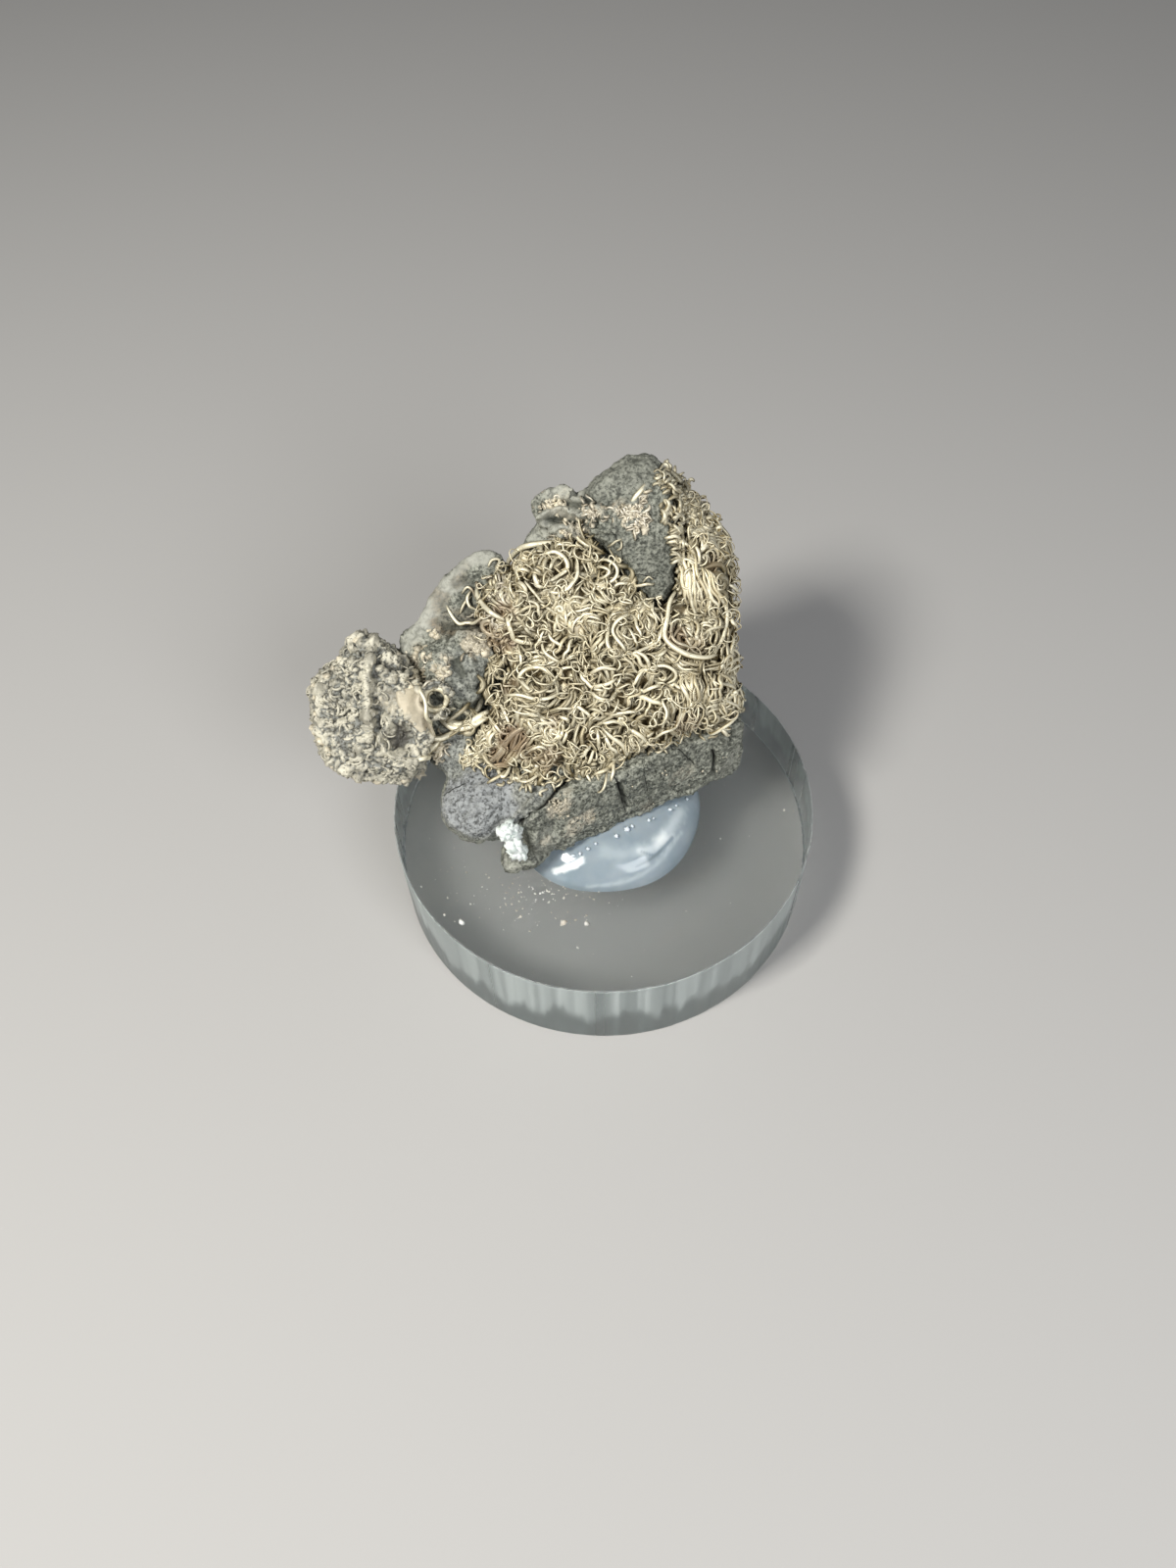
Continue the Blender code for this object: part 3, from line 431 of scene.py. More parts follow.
def plate_point(a, b, c):
    """A point given in the plate frame in millimetres, as metres in the world."""
    return PLATE_MIDDLE + MM * (a * PLATE_A + b * PLATE_B + c * PLATE_C)


def hashed(cells, seed):
    """A number from -1 to 1 for each whole-number cell, the same on every run."""
    mixed = cells @ np.array([127.1, 311.7, 74.7]) + seed * 19.19
    return 2 * np.modf(np.abs(np.sin(mixed)) * 43758.5453)[0] - 1


def noise(points, wave, seed, octaves=1):
    """Value noise: cell corners blended by 3t^2 - 2t^3, each octave half as wide and as high."""
    total = np.zeros(len(points))
    strength = 1.0
    for octave in range(octaves):
        scaled = points / wave * 2**octave + 41.3 * (octave + 1)
        cell = np.floor(scaled)
        part = scaled - cell
        part = part * part * (3 - 2 * part)
        for corner in np.ndindex(2, 2, 2):
            weight = np.prod(np.where(corner, part, 1 - part), axis=1)
            total += strength * weight * hashed(cell + corner, seed + octave)
        strength *= 0.5
    return total


def cells_around(points, wave, seed):
    """The cells round some points, with their offsets from each cell's random point, and squares."""
    scaled = points / wave
    home = np.floor(scaled)
    for step in np.ndindex(3, 3, 3):
        cell = home + step - 1
        shift = np.stack([hashed(cell, seed + k) for k in range(3)], axis=1)
        offset = scaled - cell - 0.5 - 0.5 * shift
        yield cell, offset, (offset * offset).sum(axis=1)


def cell_distances(points, wave, seed):
    """Distances in cells to the two nearest of the random points, one of which is in each cell."""
    nearest = np.full(len(points), 9.0)
    second = nearest.copy()
    for _, _, gap in cells_around(points, wave, seed):
        second = np.minimum(second, np.maximum(gap, nearest))
        nearest = np.minimum(nearest, gap)
    return np.sqrt(nearest), np.sqrt(second)


def nubs(points, wave, seed):
    """Rounded nubs from 0 to 1 with narrow clefts, where two random points are equally far."""
    nearest, second = cell_distances(points, wave, seed)
    return np.sqrt(np.clip((second - nearest) / 0.55, 0, 1))


def facets(points, wave, seed):
    """Chips: every random cell is a flat face of its own tilt, so the steps between them are sharp.

    The height at a point is its offset from the cell's middle, times the cell's random slope.
    """
    nearest = np.full(len(points), 9.0)
    height = np.zeros(len(points))
    for cell, offset, gap in cells_around(points, wave, seed):
        closer = gap < nearest
        slope = np.stack([hashed(cell, seed + 5 + k) for k in range(3)], axis=1)
        tilted = (offset * slope).sum(axis=1) + 0.35 * hashed(cell, seed + 9)
        height[closer] = tilted[closer]
        nearest[closer] = gap[closer]
    return height


def smooth_step(low, high, values):
    """0 below low, 1 above high and 3t^2 - 2t^3 between them."""
    share = np.clip((values - low) / (high - low), 0, 1)
    return share * share * (3 - 2 * share)


def hump(steps, power):
    """An arch along a wire: sin(pi s)^power, with s even from 0 to 1."""
    return np.sin(math.pi * np.linspace(0, 1, steps)) ** power


def blurs(points, wave, seed, size):
    """Random shifts of a size: three noises of two octaves side by side."""
    return size * np.stack([noise(points, wave, seed + k, 2) for k in range(3)], axis=1)


def random_turns(chance, count):
    """Turns in all directions alike: the orthogonal part of random matrices, never mirrored."""
    turns = np.linalg.qr(chance.normal(size=(count, 3, 3)))[0]
    turns[np.linalg.det(turns) < 0, :, 0] *= -1
    return turns


def camera_rays(pixels):
    """Unit directions from the camera through pixels of the photograph."""
    pixels = np.asarray(pixels, float)
    across = (pixels[:, :1] - PICTURE_WIDTH / 2) / FOCAL_PIXELS
    down = (pixels[:, 1:] - PICTURE_HEIGHT / 2) / FOCAL_PIXELS
    return unit(CAMERA_FORWARD + across * CAMERA_RIGHT - down * CAMERA_UP)


def node_tree(*names):
    """A search tree of the CAD nodes' triangles, and the node number of every triangle."""
    points, faces, owner = [], [], []
    for number, name in enumerate(names):
        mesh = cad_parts[name].data
        start = len(points)
        points += [vertex.co for vertex in mesh.vertices]
        faces += [[start + v for v in face.vertices] for face in mesh.polygons]
        owner += [number] * len(mesh.polygons)
    return BVHTree.FromPolygons(points, faces), np.array(owner)


SPECIMEN_NODES = ("silver_wire_nest", "matrix_rock", "silver_crust_knob", "calcite_crystals")
NEST_NUMBER = 0
SPECIMEN_TREE = node_tree(*SPECIMEN_NODES)[0]
PUTTY_TREE = node_tree("mounting_putty")[0]


def on_specimen(pixels, steady=1.2 * MM, tree=SPECIMEN_TREE):
    """Points and normals where camera rays meet the specimen, or another tree's skin.

    A ray that misses, or that lands much nearer or farther than the middle one of its row, takes
    the distance between its neighbours, so a wire may stand past the outline. Where all of them
    miss, each one goes as far as the skin's nearest place.
    """
    rays = camera_rays(pixels)
    start = Vector(CAMERA_PLACE)
    hits = [tree.ray_cast(start, Vector(ray)) for ray in rays]
    reach = np.array([np.nan if hit[3] is None else hit[3] for hit in hits])
    if np.isnan(reach).all():
        reach = np.full(len(rays), np.linalg.norm(plate_point(*NEST_HEART) - CAMERA_PLACE))
        for _ in range(4):
            near = [tree.find_nearest(start + Vector(ray * far))[0] for ray, far in zip(rays, reach)]
            reach = ((np.array(near) - CAMERA_PLACE) * rays).sum(axis=1)
    good = np.abs(reach - np.nanquantile(reach, 0.5, method="nearest")) < steady
    order = np.arange(len(reach))
    reach = np.interp(order, order[good], reach[good])
    normals = np.array([
        -ray if hit[1] is None or not fine else hit[1] for ray, hit, fine in zip(rays, hits, good)
    ])
    return CAMERA_PLACE + rays * reach[:, None], unit(normals)


def on_level(pixels, height):
    """Points where camera rays meet a level plane."""
    rays = camera_rays(pixels)
    return CAMERA_PLACE + rays * ((height - CAMERA_PLACE[2]) / rays[:, 2])[:, None]


def new_piece(name, points, quads, triangles=(), finish=None, marks=None, smooth=True):
    """A mesh object from arrays, riding on the one body, with its marks as point attributes."""
    quads = np.asarray(quads, np.int32).reshape(-1, 4)
    triangles = np.asarray(triangles, np.int32).reshape(-1, 3)
    mesh = bpy.data.meshes.new(name)
    mesh.vertices.add(len(points))
    mesh.vertices.foreach_set("co", np.asarray(points, np.float32).ravel())
    corners = np.concatenate([quads.ravel(), triangles.ravel()])
    starts = np.concatenate([
        4 * np.arange(len(quads)), 4 * len(quads) + 3 * np.arange(len(triangles)),
    ])
    mesh.loops.add(len(corners))
    mesh.loops.foreach_set("vertex_index", corners)
    mesh.polygons.add(len(starts))
    mesh.polygons.foreach_set("loop_start", starts.astype(np.int32))
    mesh.update(calc_edges=True)
    mesh.validate()
    if smooth:
        mesh.shade_smooth()
    for mark, values in (marks or {}).items():
        layer = mesh.attributes.new(mark, "FLOAT", "POINT")
        layer.data.foreach_set("value", np.asarray(values, np.float32).ravel())
    piece = bpy.data.objects.new(name, mesh)
    bpy.context.scene.collection.objects.link(piece)
    if finish:
        mesh.materials.append(finish)
    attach(piece, "root")
    return piece


def closed_faces(count, rings, sides):
    """Quads and triangles of many grids of rings, each with its two poles after its rings.

    The faces point outwards where the rings run counterclockwise, seen from the first pole.
    """
    pole = rings * sides
    last = pole - sides
    ring = np.arange(rings - 1)[:, None] * sides
    side = np.arange(sides)
    after = (side + 1) % sides
    quads = np.stack(
        [ring + sides + side, ring + sides + after, ring + after, ring + side], axis=-1
    ).reshape(-1, 4)
    start = np.stack([side, after, np.full(sides, pole)], axis=-1)
    end = np.stack([last + after, last + side, np.full(sides, pole + 1)], axis=-1)
    shift = (np.arange(count) * (pole + 2))[:, None, None]
    caps = np.concatenate([start, end])
    return (quads + shift).reshape(-1, 4), (caps + shift).reshape(-1, 3)


def closed_grid(points):
    """A grid of rings with a pole at both ends: its points, quads and triangles."""
    poles = [points[0].mean(axis=0), points[-1].mean(axis=0)]
    return np.concatenate([points.reshape(-1, 3), poles]), *closed_faces(1, *points.shape[:2])


def tube_arrays(paths, outs, widths, flatness, twist, sides):
    """Tubes along many paths at once: points, quads, triangles, wire numbers and crowns.

    Each ring is an ellipse square to its path: the wire's width across, flatness times as much
    out of the surface, turned by the twist, with every other corner drawn in so that the wire is
    ribbed along its length. The width swells as sin(pi s)^0.35 from both tips. A point's crown is
    1 on top of its wire and falls to 0 at the flanks and below.
    """
    count, steps = paths.shape[:2]
    along = unit(np.gradient(paths, axis=1))
    across = unit(np.cross(along, outs))
    up = np.cross(across, along)
    share = np.linspace(0, 1, steps)
    swell = 0.30 + 0.70 * np.sin(math.pi * np.clip(share, 0.02, 0.98)) ** 0.35
    angles = 2 * math.pi * np.arange(sides) / sides
    ribs = 1 - 0.13 * (np.arange(sides) % 2)
    flat_x = np.cos(angles) * ribs
    flat_y = flatness[:, None] * np.sin(angles) * ribs
    turn = twist[:, None] * (share - 0.5)
    cosine, sine = np.cos(turn)[..., None], np.sin(turn)[..., None]
    local_x = flat_x * cosine - flat_y[:, None] * sine
    local_y = flat_x * sine + flat_y[:, None] * cosine
    half = 0.5 * widths[:, None, None] * swell[None, :, None]
    rings = (
        paths[:, :, None]
        + (half * local_x)[..., None] * across[:, :, None]
        + (half * local_y)[..., None] * up[:, :, None]
    )
    block = np.concatenate([rings.reshape(count, -1, 3), paths[:, [0, -1]]], axis=1)
    crown = np.clip(local_y / flatness[:, None, None], 0, 1)
    crown = np.concatenate([crown.reshape(count, -1), np.full((count, 2), 0.5)], axis=1)
    wire = np.repeat(np.arange(count), block.shape[1])
    return block.reshape(-1, 3), *closed_faces(count, steps, sides), wire, crown.ravel()


class Skin:
    """The outside of some CAD nodes as a radius for every direction from a middle point.

    Directions are polar: theta from the plate's C axis and phi round it from A. Rays give the
    radius on a grid once, and it is blended between grid points from then on.
    """

    def __init__(self, names, heart):
        self.heart = plate_point(*heart)
        self.rows, self.columns = 121, 240
        self.steepest = math.radians(150)
        theta = np.linspace(0, self.steepest, self.rows)[:, None]
        phi = np.linspace(0, 2 * math.pi, self.columns, endpoint=False)[None, :]
        self.grid = self.directions(theta, phi)
        tree, owner = node_tree(*names)
        far = 0.05
        radii = np.zeros((self.rows, self.columns))
        self.owner = np.full((self.rows, self.columns), -1)
        for place in np.ndindex(self.rows, self.columns):
            away = self.grid[place]
            hit = tree.ray_cast(Vector(self.heart + far * away), Vector(-away))
            if hit[0] is not None:
                radii[place] = (hit[0] - Vector(self.heart)).length
                self.owner[place] = owner[hit[2]]
        empty = radii == 0
        radii[empty] = np.median(radii[~empty])
        self.radii = -self.widest(-self.widest(radii, 2), 2)
        self.soften(2)

    @staticmethod
    def widest(radii, cells):
        """Every radius raised to the largest one within so many cells."""
        padded = np.pad(np.pad(radii, ((cells, cells), (0, 0)), "edge"), ((0, 0), (cells,) * 2), "wrap")
        windows = np.lib.stride_tricks.sliding_window_view(padded, (2 * cells + 1,) * 2)
        return windows.max(axis=(2, 3))

    def soften(self, times):
        """Averages every radius with its neighbours, and works the normals out anew."""
        for _ in range(times):
            round_it = np.roll(self.radii, 1, 1) + 2 * self.radii + np.roll(self.radii, -1, 1)
            tall = np.pad(round_it / 4, ((1, 1), (0, 0)), "edge")
            self.radii = (tall[:-2] + 2 * tall[1:-1] + tall[2:]) / 4
        points = self.heart + self.grid * self.radii[..., None]
        round_it = (np.roll(points, -1, 1) - np.roll(points, 1, 1)) / 2
        normals = np.cross(np.gradient(points, axis=0), round_it)
        self.areas = np.linalg.norm(normals, axis=-1)
        flat = self.areas < 1e-12
        normals[flat] = self.grid[flat]
        self.normals = unit(normals)

    @staticmethod
    def directions(theta, phi):
        """Unit vectors for polar angles."""
        level = np.sin(theta)
        return (
            (level * np.cos(phi))[..., None] * PLATE_A
            + (level * np.sin(phi))[..., None] * PLATE_B
            + (np.cos(theta) + 0 * phi)[..., None] * PLATE_C
        )

    def places(self, points):
        """Directions to some points, and where these lie on the grid: row and column."""
        away = unit(points - self.heart)
        theta = np.arccos(np.clip(away @ PLATE_C, -1, 1))
        phi = np.arctan2(away @ PLATE_B, away @ PLATE_A) % (2 * math.pi)
        return away, theta / self.steepest, phi / (2 * math.pi) * self.columns

    def at(self, points):
        """Points pushed along their rays onto the skin, and the skin's normals there.

        Radii and normals are blended between the four nearest points of the grid.
        """
        away, row, column = self.places(points)
        row = np.clip(row, 0, 0.999) * (self.rows - 1)
        i, j = row.astype(int), column.astype(int) % self.columns
        k = (j + 1) % self.columns
        s, t = (row - i)[..., None], (column - np.floor(column))[..., None]
        both = np.concatenate([self.radii[..., None], self.normals], axis=-1)
        top = both[i, j] * (1 - t) + both[i, k] * t
        low = both[i + 1, j] * (1 - t) + both[i + 1, k] * t
        blend = top * (1 - s) + low * s
        return self.heart + away * blend[..., :1], unit(blend[..., 1:])

    def owned(self, points, number):
        """True where the skin under some points belongs to one node."""
        _, row, column = self.places(points)
        row = np.rint(np.clip(row, 0, 1) * (self.rows - 1)).astype(int)
        column = np.rint(column).astype(int) % self.columns
        return self.owner[row, column] == number

    def scatter(self, chance, count, number=0):
        """Random points spread evenly over the part of the skin that one node owns."""
        weight = np.where(self.owner == number, self.areas, 0).ravel()
        cells = chance.choice(weight.size, count, p=weight / weight.sum())
        row, column = np.divmod(cells, self.columns)
        theta = (row + chance.uniform(-0.5, 0.5, count)) / (self.rows - 1) * self.steepest
        phi = (column + chance.uniform(-0.5, 0.5, count)) / self.columns * 2 * math.pi
        away = self.directions(np.abs(theta), phi)
        return self.at(self.heart + away)


def walk(at, starts, headings, bends, step):
    """Paths over a skin: each step goes on along the heading, which turns by the bend.

    The function at carries points onto the skin and gives the normals there.
    """
    place, normal = at(starts)
    paths, outs = [], []
    for bend in bends.T:
        headings = unit(headings - normal * (headings * normal).sum(-1, keepdims=True))
        paths.append(place)
        outs.append(normal)
        turn = (bend * step)[:, None]
        headings = headings * np.cos(turn) + np.cross(normal, headings) * np.sin(turn)
        place, normal = at(place + headings * step[:, None])
    return np.stack(paths, axis=1), np.stack(outs, axis=1)


def nearness(points, x, y, radius):
    """1 at the place on the specimen that a pixel shows, falling to 0 at the radius in mm."""
    gap = np.linalg.norm(points - on_specimen([(x, y)])[0][0], axis=-1) / (radius * MM)
    return 1 - smooth_step(0.55, 1.15, gap)


def spot_sum(points, spots):
    """The strongest of some spots' nearness, each times its strength where it has one."""
    total = np.zeros(points.shape[:-1])
    for x, y, radius, *strength in spots:
        total = np.maximum(total, math.prod(strength) * nearness(points, x, y, radius))
    return total


def gaps_to(points, line, reach):
    """Which points are within reach of a line's box, and how far these are from its points."""
    close = ((points > line.min(axis=0) - reach) & (points < line.max(axis=0) + reach)).all(1)
    return close, np.linalg.norm(points[close, None] - line[None], axis=-1)


def strokes(points, rows):
    """Ridges and grooves along lines of pixels: each height times exp(-(gap / half width)^2)."""
    total = np.zeros(len(points))
    for height, half, *pixels in rows:
        line, _ = on_specimen(resampled(pixels, 40))
        close, gaps = gaps_to(points, line, 3.0 * half * MM)
        total[close] += height * np.exp(-((gaps.min(axis=1) / (half * MM)) ** 2))
    return total


def crack_gaps(points):
    """How far points are from the nearest crack, in its half widths.

    The gap is negative on a crack's other side, so that it passes 0 between the points of a mesh
    that is coarser than the crack is wide.
    """
    total = np.full(len(points), 9.0)
    shown = shown_at(points)
    for half, *pixels in CRACKS:
        course = resampled(pixels, 60)
        line, _ = on_specimen(course)
        close, gaps = gaps_to(points, line, 9 * half * MM)
        nearest = gaps.argmin(axis=1)
        heading = np.gradient(course, axis=0)[nearest]
        away = shown[close] - course[nearest]
        side = np.where(heading[:, 0] * away[:, 1] - heading[:, 1] * away[:, 0] < 0, -1, 1)
        gap = np.clip(gaps.min(axis=1) / (half * MM), 0, 9)
        nearer = gap < np.abs(total[close])
        total[close] = np.where(nearer, side * gap, total[close])
    return total


def onto(tree, points):
    """The nearest places on a search tree's skin to some points, and the normals there."""
    found = [tree.find_nearest(Vector(point)) for point in points.reshape(-1, 3)]
    places = np.array([hit[0] for hit in found]).reshape(points.shape)
    normals = np.array([hit[1] for hit in found]).reshape(points.shape)
    return places, unit(normals)


def held(points):
    """Points of which those that hang off the specimen's skin are moved onto it."""
    nearest, _ = onto(SPECIMEN_TREE, points)
    loose = np.linalg.norm(nearest - points, axis=-1) > 0.15 * MM
    return np.where(loose[..., None], nearest, points)


def softened(paths, times):
    """Paths averaged with their neighbours along their length, tips kept."""
    for _ in range(times):
        inner = (paths[:, :-2] + 2 * paths[:, 1:-1] + paths[:, 2:]) / 4
        paths = np.concatenate([paths[:, :1], inner, paths[:, -1:]], axis=1)
    return paths


def resampled(corners, steps):
    """A smooth line through some points: Catmull-Rom pieces, read at even steps."""
    corners = np.reshape(corners, (-1, 2)).astype(float)
    padded = np.concatenate([
        [2 * corners[0] - corners[1]], corners, [2 * corners[-1] - corners[-2]],
    ])
    place = np.linspace(0, len(corners) - 1 - 1e-9, steps)
    piece = place.astype(int)
    t = (place - piece)[:, None]
    p, q, r, s = (padded[piece + k] for k in range(4))
    return 0.5 * (
        2 * q + (r - p) * t + (2 * p - 5 * q + 4 * r - s) * t**2 + (3 * q - p - 3 * r + s) * t**3
    )


def pixel_size(points):
    """How many metres one pixel of the photograph covers at some points."""
    return (points - CAMERA_PLACE) @ CAMERA_FORWARD / FOCAL_PIXELS


def shown_at(points):
    """The pixels of the photograph at which points show."""
    seen = points - CAMERA_PLACE
    depth = seen @ CAMERA_FORWARD
    x = PICTURE_WIDTH / 2 + FOCAL_PIXELS * (seen @ CAMERA_RIGHT) / depth
    y = PICTURE_HEIGHT / 2 - FOCAL_PIXELS * (seen @ CAMERA_UP) / depth
    return np.stack([x, y], axis=-1)


def masked(mask, points):
    """True where points show on the True cells of a grid over the picture."""
    shown = np.rint(shown_at(points)).astype(int)
    row = np.clip(shown[..., 1], 0, PICTURE_HEIGHT - 1)
    return mask[row, np.clip(shown[..., 0], 0, PICTURE_WIDTH - 1)]


# Materials


class Finish:
    """A material that has a Principled BSDF, and short ways to add nodes in front of it."""

    def __init__(self, name):
        self.material = bpy.data.materials.new(name)
        self.material.use_nodes = True
        self.tree = self.material.node_tree
        self.shader = self.tree.nodes["Principled BSDF"]

    @cached_property
    def place(self):
        """Object coordinates."""
        return self.add("TexCoord").outputs["Object"]

    def feed(self, socket, value):
        """Links a value's socket to a socket, or sets it to a number, a vector or a colour."""
        if isinstance(value, bpy.types.NodeSocket):
            self.tree.links.new(value, socket)
        else:
            socket.default_value = (*value, 1.0) if socket.type == "RGBA" else value

    def add(self, kind, settings=None, **sockets):
        """A shader node with its settings, and its sockets fed by name."""
        node = self.tree.nodes.new("ShaderNode" + kind)
        for key, value in (settings or {}).items():
            setattr(node, key, value)
        for key, value in sockets.items():
            self.feed(node.inputs[key.replace("_", " ")], value)
        return node

    def worked(self, kind, operation, *values):
        """A math node's result from its values in order."""
        node = self.add(kind, {"operation": operation})
        for socket, value in zip(node.inputs, values):
            self.feed(socket, value)
        return node.outputs[0]

    def shade(self, **sockets):
        """Feeds the Principled BSDF's sockets by name."""
        for key, value in sockets.items():
            self.feed(self.shader.inputs[key.replace("_", " ")], value)

    def noise(self, wave, detail=4.0, roughness=0.6, place=None):
        """A noise texture whose largest lumps are about a wave in metres across."""
        return self.add(
            "TexNoise", Vector=place or self.place, Scale=1 / wave, Detail=detail,
            Roughness=roughness,
        ).outputs["Fac"]

    def mark(self, name):
        """A point attribute's value."""
        return self.add("Attribute", {"attribute_name": name}).outputs["Fac"]

    def mix(self, share, first, second, kind="RGBA", sockets=(0, 6, 7, 2)):
        """Two colours, or with other sockets two numbers, mixed by a share."""
        node = self.add("Mix", {"data_type": kind})
        for socket, value in zip(sockets, (share, first, second)):
            self.feed(node.inputs[socket], value)
        return node.outputs[sockets[3]]

    def ranged(self, value, low, high, new_low=0.0, new_high=1.0):
        """A value carried from one range to another and held inside it."""
        return self.add(
            "MapRange", Value=value, From_Min=low, From_Max=high, To_Min=new_low, To_Max=new_high
        ).outputs["Result"]

    def paint(self, first, second, value, *limits):
        """Two colours mixed by a value that is carried from one range to another."""
        return self.mix(self.ranged(value, *limits), first, second)

    def bump(self, height, distance, strength=1.0, **before):
        """A bump in metres on the shader's normal."""
        node = self.add("Bump", Height=height, Distance=distance, Strength=strength, **before)
        self.shade(Normal=node.outputs["Normal"])
        return node.outputs["Normal"]


def darker(colour, *shares):
    """A colour times a share for each part, or the same share for all."""
    return tuple(part * share for part, share in zip(colour, shares * (3 // len(shares))))


def silver_finish(name, bright, tarnish_and_shade_brown, red):
    """Silver that is cream on top, with painted shade: dark olive on its flanks and where it lies deep."""
    look = Finish(name)
    crown = look.mark("crown")
    mottle = look.noise(0.9 * MM)
    shade = look.paint(bright, darker(bright, 0.68, 0.62, 0.50), look.mark("tint"), 0.15, 1.2, 0, 0.9)
    # Painted shade: the flanks, where the crown mark falls to 0, and the silver that lies low by its lift
    # mark are darkened towards dark olive
    shade = look.paint(darker(bright, 0.30, 0.24, 0.13), shade, crown, 0.05, 0.62)
    deep = look.paint(tarnish_and_shade_brown, (0.11, 0.095, 0.05), mottle, 0.35, 0.65)
    clean = look.paint(deep, shade, look.mark("lift"), -0.10, 0.22)
    worn = look.paint(clean, red, look.mark("tarnish"), 0.1, 1.0, 0, 0.75)
    look.shade(
        Base_Color=look.paint(worn, tarnish_and_shade_brown, look.noise(0.25 * MM, 2.0), 0.55, 0.72, 0, 0.45),
        Roughness=look.ranged(mottle, 0.3, 0.7, 0.40, 0.58),
        Metallic=look.ranged(crown, 0, 0.8, 0.15, 0.42),
    )
    look.bump(look.noise(0.10 * MM, 3.0), 0.02 * MM, 0.7)
    return look.material


def rock_finish(name, dark, middle, light, pale, blue, warm):
    """Granular rock whose marks turn it pale, blue-grey, rusty or cream from place to place.

    Mottled ground goes from the dark to the common colour, with sharp light specks, sharp dark
    pits and fine joints. Hollows and grooves are darkened with painted shade, and so are some spots on the
    apron.
    """
    look = Finish(name)
    mottle = look.noise(0.9 * MM, 5.0, 0.7)
    grain = look.noise(0.24 * MM, 4.0, 0.7)
    speck = look.noise(0.17 * MM, 2.0, 0.5)
    clump = look.noise(0.5 * MM, 4.0, 0.65)
    marks = {
        kind: look.mark(kind)
        for kind in ("pale", "blue", "rust", "warm", "dark_and_shade", "raised", "hollow_shade", "crack")
    }
    rugged = look.ranged(marks["pale"], 0.1, 0.9, 1.0, 0.25)
    pit = look.worked("Math", "MULTIPLY", look.ranged(speck, 0.43, 0.38), rugged)
    base = look.paint(dark, middle, grain, 0.40, 0.56)
    base = look.paint(base, dark, mottle, 0.56, 0.42, 0, 0.35)
    base = look.paint(base, light, speck, 0.57, 0.62, 0, 0.55)
    blue_grain = look.paint(darker(blue, 0.60), blue, grain, 0.40, 0.54)
    base = look.paint(base, blue_grain, marks["blue"], 0, 1, 0, 0.9)
    pale_grain = look.paint(darker(pale, 0.66), pale, mottle, 0.36, 0.52)
    base = look.paint(base, pale_grain, marks["pale"], 0, 1, 0, 0.9)
    rust = look.paint((0.07, 0.048, 0.028), (0.26, 0.19, 0.11), grain, 0.40, 0.60)
    base = look.paint(base, rust, marks["rust"], 0, 1, 0, 0.75)
    crumb = look.worked("Math", "MULTIPLY", marks["warm"], look.ranged(clump, 0.41, 0.50))
    base = look.mix(crumb, base, warm)
    # Darker rock, and painted shade on the apron, where the spots of that kind lie
    base = look.paint(base, dark, marks["dark_and_shade"], 0, 1, 0, 0.65)
    base = look.paint(base, light, marks["raised"], 0.62, 1.0, 0, 0.25)
    pitch = darker(dark, 0.3)
    base = look.paint(base, pitch, pit, 0, 1, 0, 0.6)
    # Joints of a cracked pattern on wavering ground
    wave = 0.55 * MM
    waver = look.add("TexNoise", Vector=look.place, Scale=0.7 / wave, Detail=3.0)
    shift = look.add("VectorMath", {"operation": "SCALE"}, Scale=1.3 * wave)
    look.feed(shift.inputs[0], waver.outputs["Color"])
    joint = look.add(
        "TexVoronoi", {"feature": "DISTANCE_TO_EDGE"}, Scale=1 / wave,
        Vector=look.worked("VectorMath", "ADD", look.place, shift.outputs["Vector"]),
    ).outputs["Distance"]
    seam = look.worked("Math", "MULTIPLY", look.ranged(joint, 0.035, 0, 0, 0.5), rugged)
    base = look.mix(seam, base, pitch)
    # Painted shade in hollows and grooves
    base = look.paint(base, dark, marks["hollow_shade"], 0, 1, 0, 0.9)
    gap = look.worked("Math", "ABSOLUTE", marks["crack"])
    base = look.paint(base, (0.012, 0.012, 0.010), gap, 1.3, 0.7)
    look.shade(
        Base_Color=base, Roughness=look.ranged(grain, 0.3, 0.7, 0.5, 0.85), Specular_IOR_Level=0.4
    )
    rough = look.bump(look.worked("Math", "MULTIPLY", grain, rugged), 0.07 * MM, 0.9)
    look.bump(look.ranged(pit, 1, 0), 0.05 * MM, 0.8, Normal=rough)
    return look.material


def crust_finish(name, crust, bare, ground):
    """Grey or olive ground, cream silver on whatever stands out, tan where it is smooth, painted shade in
    hollows.
    """
    look = Finish(name)
    raised, smooth = look.mark("raised"), look.mark("smooth")
    patch = look.noise(1.1 * MM, 5.0)
    fine = look.noise(0.16 * MM, 3.0, 0.7)
    low = look.paint(ground, (0.26, 0.265, 0.24), fine, 0.42, 0.56)
    high = look.paint(darker(crust, 0.55), crust, patch, 0.40, 0.58)
    worn = look.paint(darker(bare, 0.72), bare, patch, 0.42, 0.55)
    both = look.paint(low, look.paint(high, worn, smooth, 0, 1), raised, 0.25, 0.75)
    speck = look.ranged(fine, 0.43, 0.38, 0, 0.75)
    speck = look.worked("Math", "MULTIPLY", speck, look.ranged(smooth, 0, 0.8, 1.0, 0.0))
    both = look.mix(speck, both, ground)
    look.shade(
        # Painted shade where the surface sinks
        Base_Color=look.paint(both, (0.05, 0.044, 0.034), look.mark("hollow_shade"), 0, 1, 0, 0.85),
        Metallic=look.ranged(raised, 0.2, 0.9, 0.0, 0.20),
        Roughness=look.ranged(patch, 0.3, 0.7, 0.46, 0.66),
    )
    look.bump(fine, 0.05 * MM, 0.8)
    return look.material


# Settings


def colour_property(name, description, default):
    """A colour that a user may change."""
    return FloatVectorProperty(
        name=name, description=description, subtype="COLOR", size=3, min=0, max=1, default=default
    )


def size_property(name, description, default):
    """A size in metres that a user may change."""
    return FloatProperty(
        name=name, description=description, unit="LENGTH", subtype="DISTANCE", default=default,
        precision=5,
    )


